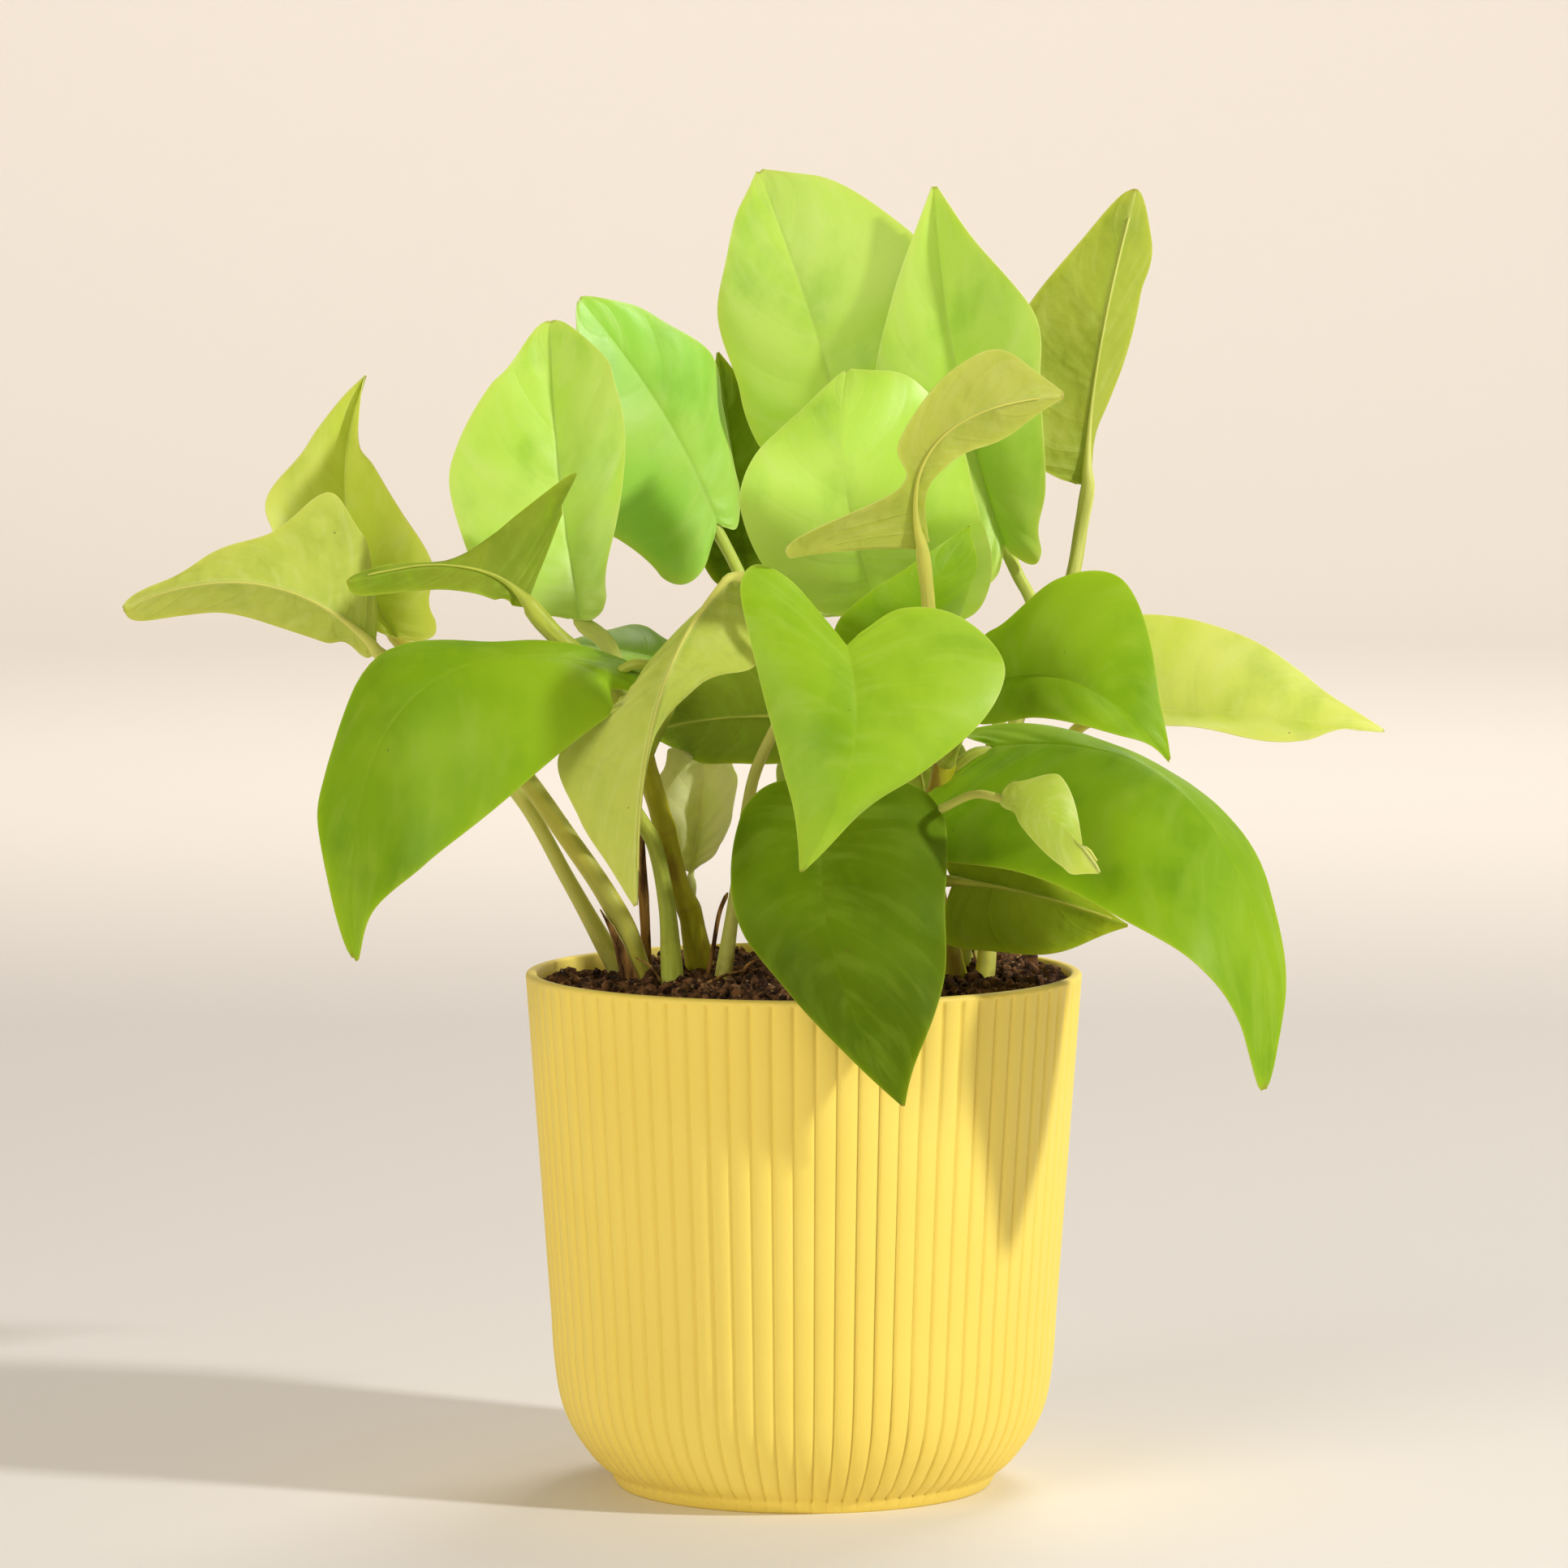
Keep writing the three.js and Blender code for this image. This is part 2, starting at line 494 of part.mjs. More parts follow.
// The middle surface of a blade: its midrib, its widths, and a gentle arch in each half
function bladeSurface(leaf) {
  const rib = midrib(leaf);
  const up = upperSide(leaf);
  const bows = [leaf.bowA, leaf.bowB].map(([across, rise, back] = [0, 0, 0]) => {
    return new THREE.Vector3(across, back, rise);
  });
  const arched = (out) => 4 * out * (1 - out);
  const widths = ['A', 'B'].map((half, side) => {
    const given = Object.entries(anchorRows).filter(([anchor]) => leaf[anchor + half]);
    return given.map(([anchor, { along, out }]) => {
      const width = seen(leaf[anchor + half]).sub(rib(along)).addScaledVector(bows[side], -arched(out));
      return { along, width: width.divideScalar(out) };
    });
  });
  return (row, share) => {
    const half = share < 0 ? 0 : 1;
    const reach = Math.abs(share);
    const edge = row.along < 0 ? row.along * leaf.lobes : row.along;
    const along = THREE.MathUtils.lerp(row.from, edge, reach);
    const out = row.out * reach;
    const width = widthAt(widths[half], along);
    const bend = bows[half].clone().addScaledVector(up, archRise * width.length());
    return rib(along).addScaledVector(width, out).addScaledVector(bend, arched(out));
  };
}

function bladeSolid(leaf) {
  const surface = bladeSurface(leaf);
  const across = 2 * cellsPerHalf;
  const grid = outline.map((row) => {
    const line = [];
    for (let c = 0; c <= across; c += 1) line.push(surface(row, c / cellsPerHalf - 1));
    return line;
  });
  const last = outline.length - 1;
  const places = [[], []];
  grid.forEach((line, r) => line.forEach((middle, c) => {
    const alongRows = grid[Math.min(r + 1, last)][c].clone().sub(grid[Math.max(r - 1, 0)][c]);
    const alongCells = line[Math.min(c + 1, across)].clone().sub(line[Math.max(c - 1, 0)]);
    const normal = alongRows.cross(alongCells).setLength(bladeThickness / 2);
    places[0].push(middle.clone().add(normal));
    places[1].push(middle.clone().sub(normal));
  }));
  const count = places[0].length;
  const index = [];
  const at = (r, c, face) => r * (across + 1) + c + face * count;
  for (let r = 0; r < last; r += 1) {
    for (let c = 0; c < across; c += 1) {
      const flip = c < cellsPerHalf;
      for (const face of [0, 1]) {
        const [p, q] = [at(r, c, face), at(r, c + 1, face)];
        const [s, t] = [at(r + 1, c + 1, face), at(r + 1, c, face)];
        const cell = flip ? [p, q, t, q, s, t] : [p, q, s, p, s, t];
        index.push(...(face ? cell.reverse() : cell));
      }
    }
  }
  const loop = [];
  for (let c = 0; c < across; c += 1) loop.push([0, c]);
  for (let r = 0; r < last; r += 1) loop.push([r, across]);
  for (let c = across; c > 0; c -= 1) loop.push([last, c]);
  for (let r = last; r > 0; r -= 1) loop.push([r, 0]);
  loop.forEach(([r, c], i) => {
    const [nr, nc] = loop[(i + 1) % loop.length];
    const [a, b, d, e] = [at(r, c, 0), at(nr, nc, 0), at(nr, nc, 1), at(r, c, 1)];
    index.push(b, a, d, a, e, d);
  });
  const geometry = new THREE.BufferGeometry();
  const numbers = [...places[0], ...places[1]].flatMap((place) => place.toArray());
  geometry.setAttribute('position', new THREE.Float32BufferAttribute(numbers, 3));
  geometry.setIndex(index);
  return toSolid(geometry);
}

// The stalk runs into the underside of the blade and a little way along its midrib
function stalkStem(leaf, stems) {
  const rib = midrib(leaf);
  const up = upperSide(leaf);
  const places = leaf.route.map(seen);
  const depth = leaf.stalk - midribSink;
  if (leaf.grows === 'soil') {
    places.unshift(buried(places[0]));
  } else {
    const near = stems[leaf.grows].curve.getPoints(100);
    near.sort((a, b) => a.distanceTo(places[0]) - b.distanceTo(places[0]));
    [places[0]] = near;
  }
  places.push(rib(0).addScaledVector(up, -depth), rib(0.14).addScaledVector(up, -depth));
  return { curve: new THREE.CatmullRomCurve3(places), radius: leaf.stalk };
}

function named(name, solid, colour, roughness) {
  const finish = new THREE.MeshStandardMaterial({ color: colour, roughness, metalness: 0 });
  const mesh = new THREE.Mesh(toGeometry(solid), finish);
  mesh.name = name;
  return mesh;
}

const plant = new THREE.Group();
const stems = {};
const rooted = [];
for (const [name, vine] of Object.entries(vines)) {
  stems[name] = vineStem(vine);
  rooted.push(stems[name]);
  plant.add(named(name, stemSolid(stems[name]), tones[vine.tone ?? 'stem'], 0.55));
}
for (const [name, leaf] of Object.entries(leaves)) {
  const stalk = stalkStem(leaf, stems);
  let solid = bladeSolid(leaf).add(stemSolid(stalk));
  if (leaf.grows === 'soil') rooted.push(stalk);
  else solid = solid.subtract(stemSolid(stems[leaf.grows], fitGap));
  plant.add(named(name, solid, tones[leaf.tone], 0.4));
}

const group = new THREE.Group();
group.add(named('pot', makePot(), '#e8c855', 0.45));
group.add(named('soil', makeSoil(rooted), '#3a261a', 0.95));
group.add(plant);
export default group;
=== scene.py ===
import math
import random

import bmesh
import bpy
from mathutils import Matrix, Vector, noise


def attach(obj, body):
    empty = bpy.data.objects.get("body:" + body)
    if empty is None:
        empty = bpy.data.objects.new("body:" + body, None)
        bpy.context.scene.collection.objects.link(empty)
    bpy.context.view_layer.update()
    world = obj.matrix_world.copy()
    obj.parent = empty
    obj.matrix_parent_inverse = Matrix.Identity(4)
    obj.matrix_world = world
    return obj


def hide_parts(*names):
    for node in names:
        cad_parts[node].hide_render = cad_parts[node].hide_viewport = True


# A golden pothos in a ribbed yellow pot. The pot's base is at the origin, its front towards -Y.
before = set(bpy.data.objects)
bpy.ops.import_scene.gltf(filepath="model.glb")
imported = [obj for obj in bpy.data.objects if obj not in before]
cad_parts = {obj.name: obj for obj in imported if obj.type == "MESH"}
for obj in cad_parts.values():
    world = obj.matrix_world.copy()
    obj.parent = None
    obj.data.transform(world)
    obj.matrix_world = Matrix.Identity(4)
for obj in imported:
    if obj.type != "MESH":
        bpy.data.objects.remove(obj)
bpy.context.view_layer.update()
mm = 0.001
weld = 1e-6        # points nearer than this are joined
print("frame loaded:", len(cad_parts), "nodes")


# Camera, lights and floor, in mm

stage = {
    "eye": (-3.9, -1500, 264),
    "aim": (-3.9, 0, 139),
    "lens": 175.2,
    "floorRadius": 2600,            # the flat floor, which then curves up to a low wall
    "coveRadius": 500,
    "wallHeight": 900,
    "floorRings": [(0, 0), (150, 0), (600, 0)],
    "coveSteps": 12,
    "floorColour": "#ece8e3",
    "worldColour": "#fff1e0",
    "worldStrength": 0.28,
}
lamps = {
    "keyLight": {"place": (1290, -665, 957), "size": 110, "power": 18, "colour": "#ffffff"},
    "fillLight": {"place": (-970, -1386, 755), "size": 900, "power": 11.4, "colour": "#fff9f0"},
    "backLight": {"place": (700, 1700, 2300), "size": 1200, "power": 27, "colour": "#fffaf2"},
    "wallLight": {"place": (0, 1300, 1500), "aim": (0, 3100, 900), "size": 1200, "power": 19,
                  "colour": "#fff3e6"},
}


def inMetres(place):
    return Vector(place) * mm


def colour(code):
    parts = [int(code[i:i + 2], 16) / 255 for i in (1, 3, 5)]
    return [p / 12.92 if p < 0.04045 else ((p + 0.055) / 1.055) ** 2.4 for p in parts] + [1]


def aimAt(thing, target):
    thing.rotation_euler = (target - thing.location).to_track_quat("-Z", "Y").to_euler()


def newObject(name, data):
    thing = bpy.data.objects.new(name, data)
    bpy.context.scene.collection.objects.link(thing)
    return thing


def makeCamera():
    lens = bpy.data.cameras.new("camera")
    lens.lens = stage["lens"]
    lens.sensor_width = 36
    camera = newObject("camera", lens)
    camera.location = inMetres(stage["eye"])
    aimAt(camera, inMetres(stage["aim"]))
    bpy.context.scene.camera = camera


def makeLights():
    for name, look in lamps.items():
        lamp = bpy.data.lights.new(name, "AREA")
        lamp.size = look["size"] * mm
        lamp.energy = look["power"]
        lamp.color = colour(look["colour"])[:3]
        light = newObject(name, lamp)
        light.location = inMetres(look["place"])
        aimAt(light, inMetres(look.get("aim", stage["aim"])))
    world = bpy.data.worlds.new("studio")
    world.use_nodes = True
    sky = world.node_tree.nodes["Background"]
    sky.inputs["Color"].default_value = colour(stage["worldColour"])
    sky.inputs["Strength"].default_value = stage["worldStrength"]
    bpy.context.scene.world = world
    bpy.context.scene.view_settings.view_transform = "Standard"   # keeps the yellow-greens clean


# Small helpers for the materials

def newMaterial(name, **sockets):
    material = bpy.data.materials.new(name)
    material.use_nodes = True
    coat(material, **sockets)
    return material


def coat(material, **sockets):
    shader = material.node_tree.nodes["Principled BSDF"]
    for socket, value in sockets.items():
        feed(material, shader.inputs[socket.replace("_", " ")], value)


def feed(material, socket, value):
    # a socket takes another node's output, a colour code or a number
    if isinstance(value, bpy.types.NodeSocket):
        material.node_tree.links.new(value, socket)
    else:
        socket.default_value = colour(value) if isinstance(value, str) else value


def addNode(material, kind, inputs=(), **settings):
    node = material.node_tree.nodes.new("ShaderNode" + kind)
    for setting, value in settings.items():
        setattr(node, setting, value)
    for socket, value in dict(inputs).items():
        feed(material, node.inputs[socket], value)
    return node


def calc(material, operation, first, second=0.0, third=0.0):
    inputs = {0: first, 1: second, 2: third}
    return addNode(material, "Math", inputs, operation=operation).outputs[0]


def times(material, first, second):
    return calc(material, "MULTIPLY", first, second)


def fade(material, value, low, high, bottom=0.0, top=1.0):
    inputs = {"Value": value, "From Min": low, "From Max": high, "To Min": bottom, "To Max": top}
    return addNode(material, "MapRange", inputs, interpolation_type="SMOOTHSTEP").outputs[0]


def mixed(material, share, first, second, way="MIX"):
    inputs = {0: share, 6: first, 7: second}
    return addNode(material, "Mix", inputs, data_type="RGBA", blend_type=way).outputs[2]


def tinted(material, skin, mask, share, code):
    # a second colour over the skin, where the mask shows it
    return mixed(material, times(material, mask, share), skin, code)


def objectPlace(material, stretch=(1, 1, 1)):
    place = addNode(material, "TexCoord").outputs["Object"]
    return addNode(material, "Mapping", {"Vector": place, "Scale": stretch}).outputs[0]


def grainOf(material, place, scale=1.0, detail=3.0):
    inputs = {"Vector": place, "Scale": scale, "Detail": detail}
    return addNode(material, "TexNoise", inputs).outputs[0]


def cloudy(material, scale, detail=3.0, stretch=(1, 1, 1)):
    return grainOf(material, objectPlace(material, stretch), scale, detail)


def patchy(material, low, high, bottom=0.0, top=1.0, **grain):
    # soft patches: the noise between low and high, as a value from bottom to top
    return fade(material, cloudy(material, **grain), low, high, bottom, top)


def mapOf(material, name):
    return addNode(material, "UVMap", uv_map=name).outputs[0]


def axesOf(material, value):
    return addNode(material, "SeparateXYZ", {0: value}).outputs


def attribute(material, name):
    return addNode(material, "Attribute", attribute_name=name).outputs["Fac"]


def addBump(material, height, depth):
    bump = addNode(material, "Bump", {"Height": height, "Distance": depth})
    coat(material, Normal=bump.outputs[0])


def addGrain(material, depth, **grain):
    addBump(material, cloudy(material, **grain), depth)


# Small helpers for the shapes

def between(low, high, share):
    return low + (high - low) * share


def easeIn(value, low, high):
    share = min(max((value - low) / (high - low), 0), 1)
    return share * share * (3 - 2 * share)


def seen(place):
    # a place that shows at (across, up) in the front view, so far behind the pot's middle
    eye = inMetres(stage["eye"])
    across, up, back = inMetres(place)
    reach = (back - eye.y) / -eye.y
    return Vector((eye.x + (across - eye.x) * reach, back, eye.z + (up - eye.z) * reach))


def curvePoint(four, share):
    # centripetal curve through four places, between the middle two
    knots = [0.0]
    for low, high in zip(four, four[1:]):
        knots.append(knots[-1] + max((high - low).length, 1e-7) ** 0.5)
    at = between(knots[1], knots[2], share)
    level = four
    for reach in (1, 2):
        level = [between(level[i], level[i + 1], (at - knots[i]) / (knots[i + reach] - knots[i]))
                 for i in range(len(level) - 1)]
    return between(level[0], level[1], (at - knots[1]) / (knots[2] - knots[1]))


def smoothRun(places, step):
    # an even run of points along a smooth curve through the places
    ends = [places[0] * 2 - places[1], *places, places[-1] * 2 - places[-2]]
    fine = []
    for i in range(len(places) - 1):
        fine += [curvePoint(ends[i:i + 4], share / 12) for share in range(12)]
    fine.append(places[-1])
    lengths = [0.0]
    for low, high in zip(fine, fine[1:]):
        lengths.append(lengths[-1] + (high - low).length)
    count = max(4, round(lengths[-1] / step))
    run, nearest = [], 0
    for i in range(count + 1):
        target = lengths[-1] * i / count
        while nearest < len(fine) - 2 and lengths[nearest + 1] < target:
            nearest += 1
        span = lengths[nearest + 1] - lengths[nearest]
        run.append(between(fine[nearest], fine[nearest + 1], (target - lengths[nearest]) / span))
    return run, lengths[-1]


def gridOf(bm, rows, cells):
    # a flat grid: each vertex with how far it is along (0 to 1) and across (-1 to 1)
    made = bmesh.ops.create_grid(bm, x_segments=rows, y_segments=cells, size=1, calc_uvs=True)
    return {vert: ((vert.co.x + 1) / 2, vert.co.y) for vert in made["verts"]}


def facesOf(verts):
    return list({face for vert in verts for face in vert.link_faces})


def addTube(bm, run, sides, radiusAt, upward, material):
    # a flat grid rolled up round the run: the seam is welded and the ends are filled
    spots = gridOf(bm, len(run) - 1, sides)
    faces = facesOf(spots)
    sideways = upward
    frames = []
    for i, centre in reversed(list(enumerate(run))):
        ahead = (run[min(i + 1, len(run) - 1)] - run[max(i - 1, 0)]).normalized()
        sideways = (sideways - ahead * sideways.dot(ahead)).normalized()
        frames.append((centre, sideways, ahead.cross(sideways)))
    frames.reverse()
    for vert, (along, across) in spots.items():
        centre, up, side = frames[round(along * (len(run) - 1))]
        angle = math.pi * across
        radius = radiusAt(along, angle)
        vert.co = centre + (up * math.cos(angle) + side * math.sin(angle)) * radius
    for face in faces:
        face.material_index = material
    seam = [vert for vert, (along, across) in spots.items() if abs(across) > 0.999]
    bmesh.ops.remove_doubles(bm, verts=seam, dist=weld / 10)
    faces = [face for face in faces if face.is_valid]
    for end in (0, 1):
        ring = {edge for face in faces for edge in face.edges if edge.is_boundary}
        reach = 3 * radiusAt(end, 0) + 1e-5
        ring = [edge for edge in ring if (edge.verts[0].co - run[-end]).length < reach]
        faces += bmesh.ops.holes_fill(bm, edges=ring, sides=0)["faces"]
    bmesh.ops.recalc_face_normals(bm, faces=faces)


def turned(profile, steps, slices):
    # one slice of the round is spun, then copied round the upright axis and joined up
    bm = bmesh.new()
    rows = [bm.verts.new(place * mm) for place in profile]
    edges = [bm.edges.new(pair) for pair in zip(rows, rows[1:])]
    wedge = 2 * math.pi / slices
    bmesh.ops.spin(bm, geom=rows + edges, cent=(0, 0, 0), axis=(0, 0, 1), angle=wedge, steps=steps)
    bmesh.ops.spin(bm, geom=bm.verts[:] + bm.edges[:] + bm.faces[:], cent=(0, 0, 0), axis=(0, 0, 1),
                   angle=wedge * (slices - 1), steps=slices - 1, use_duplicate=True)
    bmesh.ops.remove_doubles(bm, verts=bm.verts, dist=weld)
    bmesh.ops.recalc_face_normals(bm, faces=bm.faces)
    return bm


def meshOf(name, bm, materials=()):
    for face in bm.faces:
        face.smooth = True
    mesh = bpy.data.meshes.new(name)
    bm.to_mesh(mesh)
    bm.free()
    for material in materials:
        mesh.materials.append(material)
    return mesh


def joinInto(bm, heap):
    # a small mesh joins a larger one, which is quicker than growing the large one bit by bit
    mesh = meshOf("heap", heap)
    bm.from_mesh(mesh)
    bpy.data.meshes.remove(mesh)


def finishPiece(name, bm, materials, nodes):
    piece = newObject(name, meshOf(name, bm, materials))
    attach(piece, "root")
    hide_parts(*nodes)


def plainName(node):
    first, *rest = node.split("_")
    return first + "".join(word.capitalize() for word in rest)


# The pot, in mm

pot = {
    "ribs": 80,
    "stepsPerRib": 12,
    "curveStep": 1.1,
    "straightSteps": 16,
    "lipStep": 0.25,
    "grooveDepth": 0.9,
    "grooveSharpness": 0.3,
    "footGroove": 0.25,
    "footTop": 2.4,           # the foot band ends in a fine step here
    "lipStart": 100.5,        # the ribs run out between these two heights
    "lipEnd": 101.3,
    "wall": 2.2,
    "foot": [(37.2, 0.4), (37.9, 1.6), (38.2, 2.3)],
    "curve": [(38.5, 2.75), (41, 4.7), (43.2, 7.3), (46, 11.5), (48.2, 17), (49.6, 26), (50.1, 34)],
    "straightTop": (54.9, 100.5),
    "lip": [(54.98, 101), (54.9, 101.5), (54.5, 101.9), (53.8, 102), (53.1, 101.9), (52.75, 101.4)],
    "inside": [(52.5, 99.5), (50.6, 72), (47.9, 34), (46.7, 22), (43, 11), (36, 5), (20, 4),
               (0, 4)],
    "recess": [(0, 0), (25, 0), (25.2, 0.9), (32.8, 0.9), (33, 0), (36.8, 0)],
    "colour": "#fbe26b",
    "shade": "#f9de64",
    "dust": "#fce882",
    "tint": dict(scale=22, low=0.35, high=0.7),
    "dusting": dict(scale=240, detail=6, low=0.6, high=0.8, top=0.15),
    "roughness": dict(scale=60, low=0.3, high=0.7, bottom=0.42, top=0.55),
    "grain": dict(scale=1400, detail=2, depth=0.00004),
}


def potRadiusAt(height):
    rows = pot["foot"] + pot["curve"] + [pot["straightTop"]]
    for (lowRadius, low), (highRadius, high) in zip(rows, rows[1:]):
        if height <= high:
            return between(lowRadius, highRadius, (height - low) / (high - low))
    return rows[-1][0]


def potProfile():
    base, foot, curve, lip, inside = ([Vector((radius, 0, height)) for radius, height in pot[key]]
                                      for key in ("recess", "foot", "curve", "lip", "inside"))
    bend = smoothRun(curve, pot["curveStep"])[0]
    radius, height = pot["straightTop"]
    count = pot["straightSteps"]
    straight = [Vector((between(bend[-1].x, radius, step / count), 0,
                        between(bend[-1].z, height, step / count))) for step in range(1, count + 1)]
    return base + foot + bend + straight + smoothRun(lip, pot["lipStep"])[0] + inside


def ribCut(angle, height):
    # how deep the surface lies between two ribs
    sharp = abs(math.cos(angle * pot["ribs"] / 2)) ** pot["grooveSharpness"]
    depth = pot["grooveDepth"] if height > pot["footTop"] else pot["footGroove"]
    return depth * (1 - sharp) * (1 - easeIn(height, pot["lipStart"], pot["lipEnd"]))


def makePot():
    bm = turned(potProfile(), pot["stepsPerRib"], pot["ribs"])
    for vert in bm.verts:
        radius = vert.co.xy.length / mm
        height = vert.co.z / mm
        if height < 0.2 or radius < potRadiusAt(height) - 1:
            continue
        shrink = 1 - ribCut(math.atan2(vert.co.x, -vert.co.y), height) / radius
        vert.co.x *= shrink
        vert.co.y *= shrink
    finishPiece("ribbedPot", bm, [potPlastic()], ["pot"])


def potPlastic():
    material = newMaterial("yellowPlastic", Specular_IOR_Level=0.35)
    skin = mixed(material, patchy(material, **pot["tint"]), pot["colour"], pot["shade"])
    skin = mixed(material, patchy(material, **pot["dusting"]), skin, pot["dust"])
    coat(material, Base_Color=skin, Roughness=patchy(material, **pot["roughness"]))
    addGrain(material, **pot["grain"])
    return material


# The soil, in mm

soil = {
    "level": 100,
    "gap": 0.3,
    "rings": 64,
    "slices": (16, 25),
    "underside": [(0, 4.4), (30, 4.6)],
    "sideHeights": (12, 30, 70),
    "relief": [(-14, 8, 2.5, 15), (36, 20, 3, 13), (-42, 24, -5, 11), (8, 42, -4, 9)],
    "roughness": 1.7,
    "lumpScale": 0.28,
    "calmEdge": (3, 0.35),    # the lumps fade towards the pot over so many mm, to this share
    "crumbs": 4500,
    "batches": 75,
    "crumbSize": (0.3, 1.8),
    "crumbRise": 0.3,
    "crumbStretch": (0.6, 1.25),
    "crumbJitter": (0.75, 1.2),
    "chipEvery": 14,
    "chipSize": 0.4,
    "chipLength": (2, 4),
    "chipWidths": (0.45, 0.35),
    "edgeGap": 0.8,
    "edgeReach": (1.2, 4),    # a crumb's and a chip's, in their own sizes
    "highest": 102.2,
    "twigStep": 0.7,
    "twigSides": 6,
    "twigRadius": (0.42, 0.16),
    "twigs": [[(-20, -19, 101), (-15, -11, 102.4), (-9, -4, 102.6), (-5, 2, 101.5)],
              [(31, 4, 99), (30, 3, 104.5), (32.5, 5, 107), (34, 8, 104), (35, 9, 99)],
              [(-27, -12, 99), (-30, -11, 104), (-33, -9, 105.5)],
              [(-13, -6, 99), (-11, -8, 104), (-7, -9, 105), (-5, -10, 99)]],
    "seed": 7,
    "dark": "#2c1a0f",
    "brown": "#825a38",
    "pale": "#bd9668",
    "grains": dict(scale=420, detail=8, low=0.38, high=0.66),
    "bits": dict(scale=900, detail=4, low=0.62, high=0.72),
    "grit": dict(scale=1500, detail=6, depth=0.0004),
}


def soilHeight(x, y):
    height = soil["level"]
    for heapX, heapY, rise, spread in soil["relief"]:
        height += rise * math.exp(-((x - heapX) ** 2 + (y - heapY) ** 2) / spread ** 2)
    return height


def soilLumps(place):
    return noise.fractal(place * soil["lumpScale"], 1.0, 2.2, 4)


def soilEdge(height):
    return potRadiusAt(height) - pot["wall"] - soil["gap"]


def makeSoil():
    edge = soilEdge(soil["level"])
    sides = soil["underside"] + [(soilEdge(height), height) for height in soil["sideHeights"]]
    top = [(edge * (1 - ring / soil["rings"]), soil["level"]) for ring in range(soil["rings"] + 1)]
    bm = turned([Vector((radius, 0, height)) for radius, height in sides + top], *soil["slices"])
    for vert in bm.verts:
        if vert.co.z < (soil["level"] - 1) * mm:
            continue
        place = vert.co / mm
        height = soilHeight(place.x, place.y)
        stretch = soilEdge(height) / edge
        reach, least = soil["calmEdge"]
        calm = min(1, (edge - place.xy.length) / reach + least)
        height += soil["roughness"] * soilLumps(place) * calm
        vert.co = Vector((place.x * stretch, place.y * stretch, height)) * mm
    random.seed(soil["seed"])
    for batch in range(soil["batches"]):
        heap = bmesh.new()
        for i in range(soil["crumbs"] // soil["batches"]):
            addCrumb(heap, edge, i % soil["chipEvery"] == 0)
        joinInto(bm, heap)
    heap = bmesh.new()
    for twig in soil["twigs"]:
        run = smoothRun([inMetres(place) for place in twig], soil["twigStep"] * mm)[0]
        addTube(heap, run, soil["twigSides"], twigRadius, Vector((0, 0, 1)), 1)
    joinInto(bm, heap)
    finishPiece("pottingSoil", bm, [soilCrumb(), drySkin("soilRoot")], ["soil"])


def twigRadius(along, angle):
    return between(*soil["twigRadius"], along) * mm


def addCrumb(heap, edge, chip):
    # a crumb, or a chip of bark, at random in the pot: more small ones than large
    angle = random.uniform(0, 2 * math.pi)
    size = between(*soil["crumbSize"], random.random() ** 2.5) * (soil["chipSize"] if chip else 1)
    away = edge - soil["edgeGap"] - size * soil["edgeReach"][chip]
    away *= math.sqrt(random.random())
    x, y = away * math.cos(angle), away * math.sin(angle)
    made = bmesh.ops.create_icosphere(heap, subdivisions=1, radius=size * mm)
    stretch = Vector([random.uniform(*soil["crumbStretch"]) for axis in range(3)])
    if chip:
        stretch = Vector((random.uniform(*soil["chipLength"]), *soil["chipWidths"]))
    turn = Vector((random.uniform(-0.4, 0.4), random.uniform(-0.4, 0.4), 1)).normalized()
    spin = turn.to_track_quat("Z", "Y").to_matrix()
    spin = spin @ Matrix.Rotation(random.uniform(0, math.pi), 3, "Z")
    height = soilHeight(x, y) + soil["roughness"] * soilLumps(Vector((x, y, soil["level"])))
    centre = Vector((x, y, min(height + size * soil["crumbRise"], soil["highest"])))
    for vert in made["verts"]:
        ball = vert.co * random.uniform(*soil["crumbJitter"])
        vert.co = centre * mm + spin @ Vector([ball[axis] * stretch[axis] for axis in range(3)])


def soilCrumb():
    material = newMaterial("darkSoil", Roughness=0.95, Specular_IOR_Level=0.2)
    skin = mixed(material, patchy(material, **soil["grains"]), soil["dark"], soil["brown"])
    skin = mixed(material, patchy(material, **soil["bits"]), skin, soil["pale"])
    coat(material, Base_Color=skin)
    addGrain(material, **soil["grit"])
    return material


# The vines and the two dry stems: front-view places, mm

vines = {
    "vine_left": dict(
        radius=2.1, skin="vine", nodesAt=(14, 31, 47),
        route=[(-21, 105.5, 2), (-22.5, 113.5, 1), (-25, 120, 0), (-28, 132, -4), (-31, 142, -8),
               (-34.5, 151, -14), (-37.5, 159, -20)]),
    "vine_middle": dict(
        radius=2.4, skin="vine", nodesAt=(18, 37, 54),
        route=[(3, 103, 0), (5, 117.5, -5), (8, 133.5, -15), (11, 149.5, -25), (14, 160.5, -30)]),
    "vine_right": dict(
        radius=2.2, skin="vine", nodesAt=(12, 27, 40),
        route=[(29, 102.5, 0), (27, 112.5, -2), (25, 121.5, -5), (25.5, 132, -12), (28, 144, -16)]),
    "dry_stalk": dict(
        radius=1, skin="dry", nodesAt=(16, 30),
        route=[(-31, 103, 0), (-31.5, 114.5, -1), (-32.5, 129.5, -2)]),
    "thin_root": dict(
        radius=0.45, skin="dry", nodesAt=(),
        route=[(-18, 106, -2), (-16.5, 114, -3), (-15, 117.5, -3)]),
}
